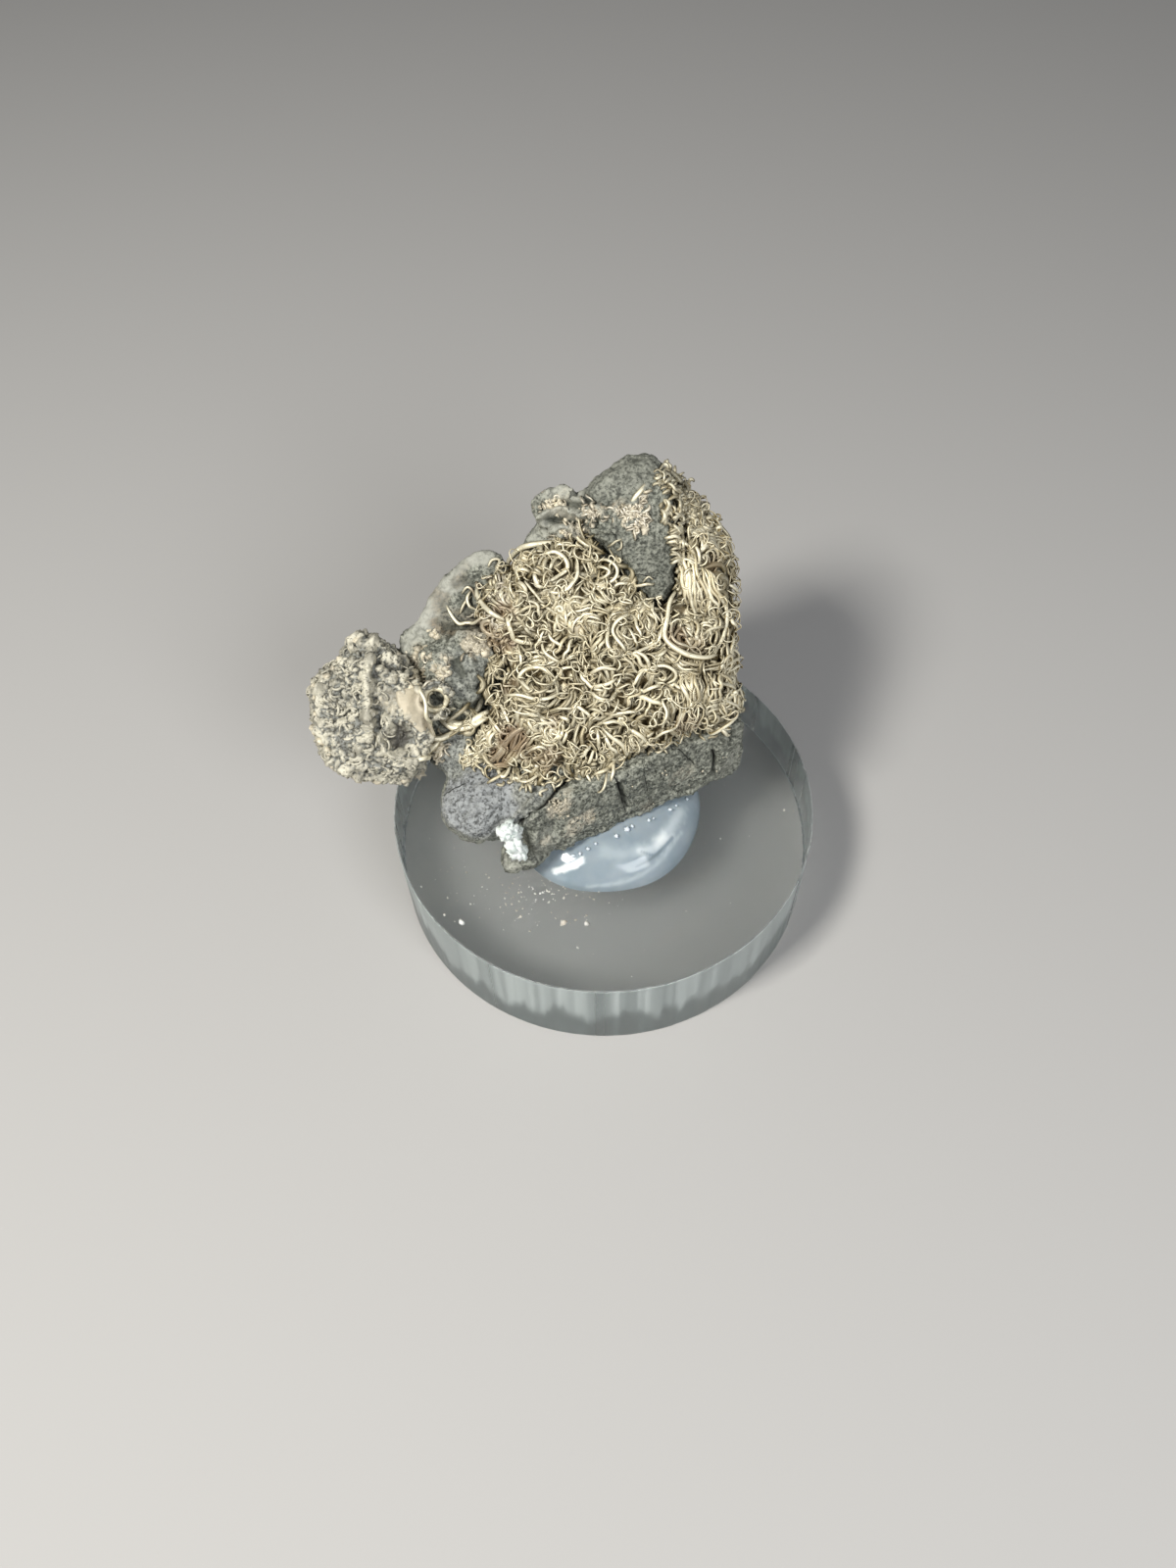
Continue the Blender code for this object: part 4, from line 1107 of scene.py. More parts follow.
class SilverSettings(PropertyGroup):
    """The wire silver."""

    sheaves: IntProperty(
        name="Sheaves", description="How many small sheaves of curls cover the nest", default=470
    )
    hairs: IntProperty(name="Hairs", description="How many thin hairs there are", default=700)
    strands: IntProperty(
        name="Strands", description="The most strands in one sheaf", default=4, min=1, max=6
    )
    width: size_property("Wire width", "How wide a common wire is", 0.24 * MM)
    bright: colour_property("Bright silver", "Colour of clean wire", (0.96, 0.90, 0.69))
    # Colour of the tarnish specks, and of the painted shade deep between the wires
    tarnish_and_shade_brown: colour_property("Brown tarnish", "Colour deep between the wires", (0.17, 0.13, 0.06))
    red: colour_property("Red tarnish", "Colour of the reddish patches", (0.22, 0.135, 0.075))


class RockSettings(PropertyGroup):
    """The rock."""

    grid: size_property("Mesh size", "How fine the rock's surface is worked out", 0.128 * MM)
    relief: size_property("Relief", "How high the rock's lumps stand", 0.12 * MM)
    dark: colour_property("Dark rock", "Colour of the dark grains", (0.085, 0.09, 0.072))
    middle: colour_property("Grey rock", "Colour of the common grains", (0.34, 0.35, 0.29))
    light: colour_property("Light grains", "Colour of the light specks", (0.50, 0.50, 0.42))
    pale: colour_property("Pale rock", "Colour of the apron and the bump", (0.45, 0.45, 0.39))
    blue: colour_property("Blue-grey rock", "Colour of the lobe", (0.36, 0.375, 0.38))
    warm: colour_property("Cream crust", "Colour of the crusted patches", (0.66, 0.60, 0.47))


class KnobSettings(PropertyGroup):
    """The crusted knob."""

    grid: size_property("Mesh size", "How fine the knob's surface is worked out", 0.083 * MM)
    worms: IntProperty(name="Curls", description="How many short curls it has", default=300)
    crust: colour_property("Crust", "Colour of the silver grains", (0.68, 0.645, 0.52))
    bare: colour_property("Smooth crust", "Colour of the smooth patches", (0.58, 0.52, 0.395))
    ground: colour_property("Ground", "Colour between the grains", (0.075, 0.07, 0.052))


class BaseSettings(PropertyGroup):
    """The clear base and its putty."""

    streak: size_property("Saw streaks", "How deep the side wall's saw marks are", 0.018 * MM)
    chip: size_property("Edge chips", "How deep the chips of the top edge are", 0.04 * MM)
    clear: colour_property("Acrylic", "Colour of the clear acrylic", (0.95, 0.97, 0.97))
    wall: colour_property("Sawn wall", "Colour of the wall's saw marks", (0.50, 0.58, 0.57))
    putty: colour_property("Putty", "Colour of the milky putty", (0.48, 0.59, 0.66))


class StageSettings(PropertyGroup):
    """The floor and the light."""

    floor: colour_property("Floor", "Colour of the plain floor", (0.50, 0.49, 0.475))
    key: FloatProperty(name="Key light", description="Its power in watts", default=0.42)
    fill: FloatProperty(name="Fill light", description="Its power in watts", default=0.17)
    room: FloatProperty(name="Room light", description="How bright the room is", default=0.14)


def settings(context):
    """All the settings of the specimen."""
    return context.scene.silver_specimen


class SpecimenSettings(PropertyGroup):
    """Everything that a user may change."""

    silver: PointerProperty(type=SilverSettings)
    rock: PointerProperty(type=RockSettings)
    knob: PointerProperty(type=KnobSettings)
    base: PointerProperty(type=BaseSettings)
    stage: PointerProperty(type=StageSettings)


# The pieces


def silver_of(context, dull=False):
    """The wire silver's finish, or the paler, greyer one of the crusted wires over the rock."""
    chosen = settings(context).silver
    if dull:
        # The dull silver's darkest colour is for its tarnish specks and its painted shade
        return bpy.data.materials.get("dull silver") or silver_finish(
            "dull silver", (0.84, 0.78, 0.64), (0.15, 0.12, 0.08), chosen.red
        )
    return bpy.data.materials.get("wire silver") or silver_finish(
        "wire silver", chosen.bright, chosen.tarnish_and_shade_brown, chosen.red
    )


def add_wires(
    name, context, paths, outs, lifts, widths, chance, sides=6, dull=0.0, finish=None
):
    """Wires along paths: lifted out of their surface, made into tubes and marked for colour."""
    lifted = paths + outs * lifts[..., None]
    count = len(paths)
    flatness = chance.uniform(0.55, 0.95, count)
    twist = chance.uniform(-1.6, 1.6, count)
    points, quads, triangles, wire, crown = tube_arrays(
        lifted, outs, widths, flatness, twist, sides
    )
    depth = np.concatenate([np.repeat(lifts, sides, axis=1), lifts[:, [0, -1]]], axis=1)
    tint = np.clip(chance.uniform(0, 1, count) + dull, 0, 1)[wire]
    # The lift and crown marks paint shade on the silver: dark where a wire lies low and on its flanks. On
    # crust curls, raised follows the crown and paints their flanks as dark ground
    marks = {
        "lift": depth / MM, "tint": tint, "tarnish": spot_sum(points, TARNISH), "crown": crown,
        "raised": 0.5 + 0.5 * crown,
    }
    piece = new_piece(name, points, quads, triangles, finish or silver_of(context), marks)
    return piece


def crust_of(context):
    """The finish of crust: grey ground with cream silver on whatever stands out."""
    chosen = settings(context).knob
    return bpy.data.materials.get("silver crust") or crust_finish(
        "silver crust", chosen.crust, chosen.bare, chosen.ground
    )


def read(collection, key, width, kind=float):
    """One value of every item of a mesh's collection, as the rows of an array."""
    values = np.empty(width * len(collection), kind)
    collection.foreach_get(key, values)
    return values.reshape(-1, width)


def copied_node(name, voxel):
    """A CAD node's form as one skin of even quads: merged, remeshed and read as arrays."""
    copy = bpy.data.objects.new(name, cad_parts[name].data.copy())
    bpy.context.scene.collection.objects.link(copy)
    bm = bmesh.new()
    bm.from_mesh(copy.data)
    bmesh.ops.remove_doubles(bm, verts=bm.verts, dist=1e-6)
    bm.to_mesh(copy.data)
    bm.free()
    melted = copy.modifiers.new("even quads", "REMESH")
    melted.mode = "VOXEL"
    melted.voxel_size = voxel
    graph = bpy.context.evaluated_depsgraph_get()
    mesh = bpy.data.meshes.new_from_object(copy.evaluated_get(graph))
    bpy.data.objects.remove(copy)
    quads = read(mesh.loops, "vertex_index", 1, np.int32).reshape(-1, 4)
    if len(quads) != len(mesh.polygons):
        raise RuntimeError("the remeshed copy of " + name + " isn't all quads")
    return read(mesh.vertices, "co", 3), read(mesh.vertex_normals, "vector", 3), quads


class SPECIMEN_OT_rock(Operator):
    """Adds the rock: the solid's form with lumps, pits, grains and cracks worked into it."""

    bl_idname = "specimen.rock"
    bl_label = "Rock"

    def execute(self, context):
        chosen = settings(context).rock
        points, normals, quads = copied_node("matrix_rock", chosen.grid)
        blurred = points + blurs(points, 1.1 * MM, 60, 0.55 * MM)
        marks = {kind: spot_sum(blurred, spots) for kind, spots in ROCK_SPOTS.items()}
        lumps = noise(points, 1.9 * MM, 3, 3)
        chips = facets(points, 1.15 * MM, 9) + 0.45 * facets(points, 0.5 * MM, 33)
        grains = nubs(points, 0.42 * MM, 15) - 0.6
        pits = smooth_step(0.52, 0.18, cell_distances(points, 0.5 * MM, 27)[0])
        along = points @ PLATE_C
        fibre = noise(points - 0.82 * along[:, None] * PLATE_C, 0.22 * MM, 51, 3)
        crumble = 1 - 2 * np.abs(noise(points, 0.55 * MM, 81, 3))
        calm = 1 - 0.7 * np.maximum(marks["pale"], 0.6 * marks["blue"])
        height = chosen.relief * (
            0.45 * calm * lumps + 1.0 * calm * chips + 0.5 * calm * grains + 0.35 * calm * fibre
            - 0.9 * pits * (0.3 + 0.7 * marks["blue"] + 0.5 * marks["pale"])
            + 1.0 * marks["warm"] * (grains + 0.2) + 2.2 * marks["rough"] * crumble
        )
        lines = strokes(points, ROCK_STROKES)
        height += MM * lines
        # Painted shade: the mark is high in hollows and grooves
        marks["hollow_shade"] = np.clip(
            np.maximum(-height / chosen.relief * 0.5 - 0.25, -4.0 * lines - 0.2), 0, 1
        )
        marks["raised"] = np.clip(0.5 + 0.5 * height / chosen.relief, 0, 1)
        marks["crack"] = crack_gaps(points)
        finish = rock_finish(
            "dark rock", chosen.dark, chosen.middle, chosen.light, chosen.pale, chosen.blue,
            chosen.warm,
        )
        piece = new_piece(
            "rock", points + normals * height[:, None], quads, finish=finish, marks=marks
        )
        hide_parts("matrix_rock")
        return {"FINISHED"}


class SPECIMEN_OT_nest_mat(Operator):
    """Adds the matted silver under the curls: the solid's form, sunk and wrinkled."""

    bl_idname = "specimen.nest_mat"
    bl_label = "Silver mat"

    def execute(self, context):
        points, normals, quads = copied_node("silver_wire_nest", 0.19 * MM)
        wrinkle = np.abs(noise(points, 0.7 * MM, 5, 3))
        height = -0.26 * MM + 0.20 * MM * wrinkle
        for x, y, radius in HOLES:
            height -= 0.7 * MM * nearness(points, x, y, 1.1 * radius)
        # Most of the mat lies low by its lift mark, so it takes the silver's painted shade, dark olive
        # under the curls
        marks = {
            "lift": wrinkle - 0.35, "tint": 0.5 + 0.5 * noise(points, 1.0 * MM, 12),
            "tarnish": np.maximum(spot_sum(points, TARNISH), 0.25), "crown": 0.3 + 0.7 * wrinkle,
        }
        piece = new_piece(
            "silver_mat", points + normals * height[:, None], quads, finish=silver_of(context),
            marks=marks,
        )
        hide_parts("silver_wire_nest")
        return {"FINISHED"}


def wire_mask():
    """A grid over the picture that is True close to the wires that show one by one."""
    mask = np.zeros((PICTURE_HEIGHT, PICTURE_WIDTH), bool)
    lines = [(0.62 * width, resampled(pixels, 90)) for width, _, *pixels in LONE_WIRES]
    for *corners, count, width, _ in SHEAVES:
        first, last = np.reshape(corners, (2, 2, 2))
        between = np.linspace(0, 1, count)[:, None, None]
        ends = first * (1 - between) + last * between
        share = np.linspace(0.05, 0.95, 60)[None, :, None]
        combed = ends[:, :1] * (1 - share) + ends[:, 1:] * share
        lines.append((0.6 * width, combed.reshape(-1, 2)))
    for reach, line in lines:
        size = int(math.ceil(reach))
        steps = np.mgrid[-size:size + 1, -size:size + 1].reshape(2, -1).T
        steps = steps[np.hypot(*steps.T) <= reach]
        spots = (np.rint(line)[:, None] + steps).reshape(-1, 2).astype(int)
        mask[spots[:, 1], spots[:, 0]] = True
    return mask


def sheaf_flow(chance, starts, normals):
    """The heading and bend of every sheaf.

    Headings come from slow noise over the nest, so that neighbours lie alike, and stray from
    it at random. Close to a swirl some sheaves go round the swirl's middle.
    """
    sheaves = len(starts)
    turn = 2 * math.pi * noise(starts, 2.0 * MM, 88) + chance.normal(size=sheaves) * 0.55
    across = unit(np.cross(normals, PLATE_A + 0 * normals))
    headings = across * np.cos(turn)[:, None] + np.cross(normals, across) * np.sin(turn)[:, None]
    radii = np.where(
        chance.random(sheaves) < 0.35,
        chance.uniform(0.28, 0.8, sheaves), chance.uniform(0.8, 3.2, sheaves),
    )
    bend = chance.choice([-1, 1], sheaves) / (MM * radii)
    for x, y, radius in SWIRLS:
        spoke = starts - on_specimen([(x, y)])[0][0]
        gap = np.linalg.norm(spoke, axis=1)
        inside = (gap < 1.2 * radius * MM) & (chance.random(sheaves) < 0.45)
        around = unit(np.cross(normals, spoke))
        headings[inside] = around[inside]
        bend[inside] = 1 / np.maximum(gap[inside], 0.3 * MM)
    return headings, bend


def add_layer(
    context, skin, chance, name, sheaves, steps, sides, arch, dull, mask, hiding
):
    """One layer of sheaves.

    A sheaf's bend is a slow wave along its length. Strands of one sheaf run side by side, and
    the outer ones bend less, so that they stay parallel.
    """
    chosen = settings(context).silver
    starts, normals = skin.scatter(chance, sheaves, NEST_NUMBER)
    rows = chance.integers(0, len(SPILLS), sheaves // 6)
    spots = np.array(SPILLS)[rows, :2] + chance.normal(size=(len(rows), 2)) * 6
    more, more_normals = skin.at(on_specimen(spots, 9 * MM)[0])
    starts = np.concatenate([starts, more])
    normals = np.concatenate([normals, more_normals])
    sheaves = len(starts)
    headings, bend = sheaf_flow(chance, starts, normals)
    length = chance.uniform(0.8, 2.8, sheaves) * MM
    length[-len(more):] *= 0.5
    crumbly = spot_sum(starts, CRUMBLY) > 0.5
    length[crumbly] *= 0.5
    bend[crumbly] *= 1.6
    wave = chance.uniform(-0.9, 0.9, (sheaves, 1)) * np.sin(
        2 * math.pi * chance.uniform(0.3, 1.3, (sheaves, 1)) * np.linspace(0, 1, steps)
        + chance.uniform(0, 6.28, (sheaves, 1))
    )
    counts = chance.integers(1, chosen.strands + 1, sheaves)
    sheaf = np.repeat(np.arange(sheaves), counts)
    first = np.cumsum(counts) - counts
    rank = np.arange(len(sheaf)) - first[sheaf]
    width = chosen.width * np.where(
        chance.random(sheaves) < 0.12, chance.uniform(1.2, 1.6, sheaves),
        chance.uniform(0.5, 1.1, sheaves),
    )
    offset = (rank - (counts[sheaf] - 1) / 2) * (width * chance.uniform(0.95, 1.3, sheaves))[sheaf]
    side = np.cross(headings, normals)[sheaf]
    begin = starts[sheaf] + side * offset[:, None]
    begin += chance.normal(size=begin.shape) * 0.07 * MM
    strand_bend = bend[sheaf] / np.clip(1 + bend[sheaf] * offset, 0.45, 2.5)
    bends = strand_bend[:, None] * (1 + wave[sheaf])
    bends += chance.uniform(-200, 200, (len(sheaf), 1))
    strand_length = length[sheaf] * chance.uniform(0.65, 1.15, len(sheaf))
    paths, outs = walk(skin.at, begin, headings[sheaf], bends, strand_length / (steps - 1))
    spilling = spot_sum(paths[:, 0], SPILLS) > 0.5
    staying = skin.owned(paths, NEST_NUMBER).mean(axis=1) >= np.where(spilling, 0.0, 0.85)
    staying &= masked(mask, paths).sum(axis=1) <= hiding
    for x, y, radius in HOLES:
        gap = np.linalg.norm(paths - on_specimen([(x, y)])[0], axis=-1).min(axis=1)
        staying &= gap > radius * MM
    paths, outs, sheaf = softened(paths[staying], 1), outs[staying], sheaf[staying]
    share = np.linspace(0, 1, steps)
    peak = chance.uniform(*arch, sheaves)[sheaf] * MM
    skew = chance.uniform(0.6, 1.7, sheaves)[sheaf][:, None]
    hump = np.sin(math.pi * share[None, :] ** skew) ** 0.6
    lifts = (peak[:, None] + 0.12 * MM) * hump - 0.14 * MM
    tilt = chance.uniform(-1, 1, (len(sheaf), 1))
    lifts += np.linspace(-0.10, 0.10, steps)[None, :] * MM * tilt
    widths = width[sheaf] * chance.uniform(0.85, 1.15, len(sheaf))
    add_wires(name, context, paths, outs, lifts, widths, chance, sides=sides, dull=dull)


def add_frizz(context, skin, chance, count):
    """Thin tight loops of silver that stand out between the curls."""
    steps = 11
    starts, normals = skin.scatter(chance, count, NEST_NUMBER)
    headings = unit(np.cross(normals, unit(chance.normal(size=(count, 3)))))
    bends = chance.choice([-1, 1], count) / (MM * chance.uniform(0.15, 0.6, count))
    bends = bends[:, None] * (1 + 0.6 * np.sin(np.linspace(0, 5, steps)))
    length = chance.uniform(0.6, 1.6, count) * MM
    paths, outs = walk(skin.at, starts, headings, bends, length / (steps - 1))
    staying = skin.owned(paths, NEST_NUMBER).mean(axis=1) > 0.85
    paths, outs = paths[staying], outs[staying]
    peaks = chance.uniform(0.20, 0.60, len(paths)) * MM
    skew = chance.uniform(0.7, 1.5, (len(paths), 1))
    lifts = peaks[:, None] * np.sin(math.pi * 0.94 * np.linspace(0, 1, steps) ** skew)
    widths = chance.uniform(0.08, 0.14, len(paths)) * MM
    add_wires("silver_frizz", context, paths, outs, lifts, widths, chance, sides=4, dull=-0.1)


class SPECIMEN_OT_curls(Operator):
    """Adds the curls: sheaves of like wires that wander and turn over the nest."""

    bl_idname = "specimen.curls"
    bl_label = "Curls"

    def execute(self, context):
        chosen = settings(context).silver
        chance = np.random.default_rng(5)
        skin = Skin(SPECIMEN_NODES, NEST_HEART)
        mask = wire_mask()
        # Each layer: its sheaves as a share, how many steps and sides a wire has, its lowest and
        # highest arch in mm, how dull it is, and how many of its points may hide a lone wire
        layers = (
            ("curls_low", 1.20, 10, 5, (0.00, 0.10), 0.10, 99),
            ("curls_middle", 1.25, 13, 5, (0.06, 0.22), -0.10, 3),
            ("curls_high", 0.75, 14, 6, (0.16, 0.40), -0.30, 0),
        )
        for name, share, steps, sides, arch, dull, hiding in layers:
            add_layer(
                context, skin, chance, name, int(chosen.sheaves * share), steps, sides, arch, dull,
                mask, hiding,
            )
        add_frizz(context, skin, chance, chosen.hairs)
        return {"FINISHED"}


def add_lines(context, chance):
    """Smooth lines through the named pixels, laid on the specimen and arched out of it."""
    steps = 36
    wires = []
    for width, peak, *pixels in LONE_WIRES:
        line = resampled(pixels, steps)
        points, normals = on_specimen(line)
        if peak < 0:
            ends = np.linalg.norm(points[[0, -1]] - CAMERA_PLACE, axis=1)
            ends = np.minimum(ends, ends.min() + 0.6 * MM)
            points = CAMERA_PLACE + camera_rays(line) * np.linspace(*ends, steps)[:, None]
            normals = PLATE_C + 0 * points
        width = LONE_WIDTH * width * pixel_size(points).mean()
        wires.append((points, normals, width, LONE_LIFT * abs(peak) * MM))
    paths, outs, widths, peaks = (np.array(part) for part in zip(*wires))
    lifts = peaks[:, None] * hump(steps, 0.4) - 0.10 * MM
    add_wires(
        "lone_wires", context, softened(paths, 8), unit(softened(outs, 12)), lifts, widths,
        chance, sides=8, dull=-0.6,
    )


def add_sheaves(context, chance):
    """Wires spaced evenly between a sheaf's two outer ones, each with its own small waves."""
    steps = 26
    wires = []
    share = np.linspace(0, 1, steps)[:, None]
    for *corners, count, width, wave in SHEAVES:
        first, last = np.reshape(corners, (2, 2, 2))
        for between in np.linspace(0, 1, count):
            low = first * (1 - between) + last * between + chance.normal(size=(2, 2)) * 1.2
            line = low[0] * (1 - share) + low[1] * share
            square = unit(np.array([low[1, 1] - low[0, 1], low[0, 0] - low[1, 0]]))
            phase, turns = chance.uniform(0, 6.28), chance.uniform(1.0, 2.6)
            line = line + wave * np.sin(2 * math.pi * turns * share + phase) * square
            points, normals = on_specimen(line)
            wires.append(
                (points, normals, width * pixel_size(points).mean() * chance.uniform(0.8, 1.2))
            )
    paths, outs, widths = (np.array(part) for part in zip(*wires))
    peaks = chance.uniform(0.15, 0.45, len(paths)) * MM
    lifts = peaks[:, None] * hump(steps, 0.4) - 0.08 * MM
    add_wires(
        "combed_wires", context, softened(paths, 6), unit(softened(outs, 12)), lifts, widths,
        chance, dull=0.1,
    )


def add_ring(context, chance):
    """A closed loop of wire and a second turn inside it."""
    steps = 48
    angles = np.linspace(0, 2 * math.pi, steps) + 0.6
    circle = np.stack([np.cos(angles), 0.95 * np.sin(angles)], axis=1)
    points = np.array([
        on_specimen(RING_MIDDLE + radius * circle, 0.6 * MM)[0]
        for radius in (RING_PIXELS, RING_PIXELS * 0.72)
    ])
    level = (points - points.mean(axis=1, keepdims=True)) @ PLATE_C
    points = points - 0.7 * level[..., None] * PLATE_C
    outs = np.broadcast_to(PLATE_C, points.shape).copy()
    lifts = np.array([[0.42], [0.25]]) * MM * np.ones((2, steps))
    widths = np.array([RING_WIDTH, RING_WIDTH * 0.7]) * pixel_size(points[0]).mean()
    add_wires("ring_wire", context, points, outs, lifts, widths, chance, sides=8, dull=-0.5)


def add_tangles(context, chance, name, kinds):
    """Short worms: each turns by a random bend from step to step, in the picture's plane."""
    steps = 11
    wires = []
    for x, y, wide, tall, count, width, kind in TANGLES:
        for _ in range(count if kind in kinds else 0):
            start = (x, y) + chance.normal(size=2) * (wide, tall) * 0.6
            bend = chance.choice([-1, 1]) / chance.uniform(2.2, 5.0)
            bends = bend * (0.5 + 1.2 * np.sin(chance.uniform(0, 6) + np.linspace(0, 5, steps)))
            step = chance.uniform(8, 18) / steps
            hanging = kind == HANGING
            first = chance.normal(1.57, 0.3) if hanging else chance.uniform(0, 6.28)
            angle = first + np.cumsum(bends) * step
            line = start + np.cumsum(np.stack([np.cos(angle), np.sin(angle)], 1), 0) * step
            points, normals = on_specimen(line - [7 * hanging, 0], 0.7 * MM)
            if hanging:
                reach = np.linalg.norm(points - CAMERA_PLACE, axis=1)[:, None]
                points = CAMERA_PLACE + camera_rays(line) * reach
            if kind == CRUST:
                points = held(points)
            if SPECIMEN_TREE.find_nearest(Vector(points.mean(axis=0)))[3] <= 0.7 * MM:
                size = width * pixel_size(points).mean() * chance.uniform(0.75, 1.2)
                wires.append((points, normals, size))
    paths, outs, widths = (np.array(part) for part in zip(*wires))
    outs = unit(softened(outs, 8) - 0.4 * CAMERA_FORWARD)
    lifts = (chance.uniform(0.07, 0.26, (len(paths), 1)) * hump(steps, 0.5) - 0.06) * MM
    add_wires(
        name, context, softened(paths, 2), outs, lifts, widths, chance, sides=5, dull=-0.2,
        finish=silver_of(context, dull=CRUST in kinds),
    )


class SPECIMEN_OT_lone_wires(Operator):
    """Adds the wires that show one by one, and the combed sheaves, by their place in the photo."""

    bl_idname = "specimen.lone_wires"
    bl_label = "Lone wires"

    def execute(self, context):
        chance = np.random.default_rng(17)
        add_lines(context, chance)
        add_sheaves(context, chance)
        add_ring(context, chance)
        for name, kinds in (("bright_tangles", (BRIGHT, HANGING)), ("crust_tangles", (CRUST,))):
            add_tangles(context, chance, name, kinds)
        return {"FINISHED"}


def add_sheet(finish):
    """A thin smooth sheet that curls up towards its right edge, where it ends in the open.

    Across it the lift is 0.05 + 0.50 t^2 mm, and each ring goes over its top and back below.
    """
    steps, wide = 26, 11
    left, right = resampled(SHEET_LEFT, steps), resampled(SHEET_RIGHT, steps)
    t = np.linspace(0, 1, wide)[None, :, None]
    pixels = left[:, None] * (1 - t) + right[:, None] * t
    top, _ = on_specimen(pixels.reshape(-1, 2), 1.0 * MM)
    top = softened(softened(top.reshape(steps, wide, 3), 3).transpose(1, 0, 2), 3).transpose(1, 0, 2)
    taper = np.sin(math.pi * np.linspace(0.06, 0.94, steps))[:, None, None] ** 0.5
    wave = 0.03 * MM * np.sin(9 * t + 5 * np.linspace(0, 1, steps)[:, None, None])
    top = top + (0.05 * MM + 0.50 * MM * t**2 * taper + wave) * PLATE_C
    low = top - (0.10 + 0.06 * t) * MM * PLATE_C
    rings = np.concatenate([top, low[:, ::-1]], axis=1)
    points, quads, triangles = closed_grid(rings)
    marks = {
        "raised": np.ones(len(points)), "smooth": np.ones(len(points)),
        "hollow_shade": np.zeros(len(points)),
    }
    piece = new_piece("silver_sheet", points, quads, triangles, finish, marks)


def add_worms(context, chance, count):
    """Short thick curls strewn over the knob, many of them half sunk in it."""
    tree = node_tree("silver_crust_knob")[0]
    starts, _ = scattered("silver_crust_knob", count, chance)
    starts = starts[~masked(circles(KNOB_CLEAR), starts)]
    add_crawlers("knob_curls", context, tree, starts, chance)


def add_crumbs(context, chance, count):
    """Grains of silver strewn evenly over the knob, outside its clear places."""
    places, normals = scattered("silver_crust_knob", count, chance)
    open_place = ~masked(circles(KNOB_CLEAR), places)
    places, normals = places[open_place], normals[open_place]
    sizes = chance.uniform(0.12, 0.28, len(places)) * MM
    points, quads, triangles = grain_arrays(
        places + normals * 0.04 * MM, sizes, chance, rings=4, sides=6
    )
    marks = {"raised": 0.7 + 0.4 * noise(points, 0.2 * MM, 3)}
    piece = new_piece("knob_crumbs", points, quads, triangles, crust_of(context), marks)


class SPECIMEN_OT_knob(Operator):
    """Adds the knob: its solid's form under a crust of grains and short curls."""

    bl_idname = "specimen.knob"
    bl_label = "Crusted knob"

    def execute(self, context):
        chosen = settings(context).knob
        chance = np.random.default_rng(23)
        points, normals, quads = copied_node("silver_crust_knob", chosen.grid)
        smooth = spot_sum(points, KNOB_SMOOTH)
        bare = spot_sum(points, KNOB_BARE)
        warped = points + blurs(points, 0.5 * MM, 70, 0.10 * MM)
        blobs = nubs(warped, 0.62 * MM, 31)
        crumbs = nubs(warped, 0.30 * MM, 47)
        worms = 0.5 - 1.6 * np.abs(noise(points, 0.42 * MM, 71, 2))
        broad = noise(points, 1.3 * MM, 90, 2)
        relief = (1 - 0.85 * smooth) * (0.30 * blobs + 0.14 * crumbs + 0.05 * worms - 0.20)
        lines = strokes(points, KNOB_STROKES)
        height = relief + 0.10 * broad + 0.8 * lines
        for x, y, radius, depth in KNOB_HOLLOWS:
            height -= depth * nearness(points, x, y, radius)
        raised = smooth_step(0.32, 0.70, 0.55 * blobs + 0.45 * crumbs + 0.6 * lines)
        raised = np.maximum(raised * (1 - 0.65 * bare), 0.9 * smooth)
        # Painted shade where the knob sinks deepest
        marks = {"raised": raised, "smooth": smooth, "hollow_shade": np.clip(-3.0 * height - 0.40, 0, 1)}
        finish = crust_of(context)
        piece = new_piece(
            "crusted_knob", points + normals * MM * (height - 0.02)[:, None], quads,
            finish=finish, marks=marks,
        )
        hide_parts("silver_crust_knob")
        add_worms(context, chance, chosen.worms)
        add_crumbs(context, chance, chosen.worms)
        add_sheet(finish)
        return {"FINISHED"}


def scattered(node, count, chance):
    """Random points spread evenly over a CAD node's triangles, and their normals."""
    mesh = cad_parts[node].data
    mesh.calc_loop_triangles()
    corners = read(mesh.loop_triangles, "vertices", 3, np.int32)
    a, b, c = read(mesh.vertices, "co", 3)[corners].transpose(1, 0, 2)
    square = np.cross(b - a, c - a)
    area = np.linalg.norm(square, axis=1)
    chosen = chance.choice(len(area), count, p=area / area.sum())
    s, t = chance.random((2, count, 1))
    flip = s + t > 1
    s, t = np.where(flip, 1 - s, s), np.where(flip, 1 - t, t)
    points = a[chosen] + s * (b - a)[chosen] + t * (c - a)[chosen]
    return points, unit(square[chosen])


def circles(rows):
    """A grid over the picture that is True inside some circles of pixels."""
    down, across = np.mgrid[:PICTURE_HEIGHT, :PICTURE_WIDTH]
    mask = np.zeros((PICTURE_HEIGHT, PICTURE_WIDTH), bool)
    for x, y, radius in rows:
        mask |= np.hypot(across - x, down - y) < radius
    return mask


def add_crawlers(name, context, tree, starts, chance):
    """Short dull curls that crawl over a search tree's skin from given places."""
    count, steps = len(starts), 9
    _, normals = onto(tree, starts)
    headings = unit(np.cross(normals, unit(chance.normal(size=(count, 3)))))
    bends = chance.choice([-1, 1], count) / (MM * chance.uniform(0.16, 0.7, count))
    bends = bends[:, None] * (1 + chance.uniform(-0.9, 0.9, (count, 1)) * np.linspace(-1, 1, steps))
    length = chance.uniform(0.35, 1.0, count) * MM
    paths, outs = walk(
        lambda points: onto(tree, points), starts, headings, bends, length / (steps - 1)
    )
    lifts = chance.uniform(0.10, 0.26, count)[:, None] * MM * hump(steps, 0.6) - 0.03 * MM
    widths = chance.uniform(0.09, 0.18, count) * MM
    piece = add_wires(
        name, context, softened(paths, 1), unit(softened(outs, 2)), lifts, widths, chance,
        finish=crust_of(context),
    )


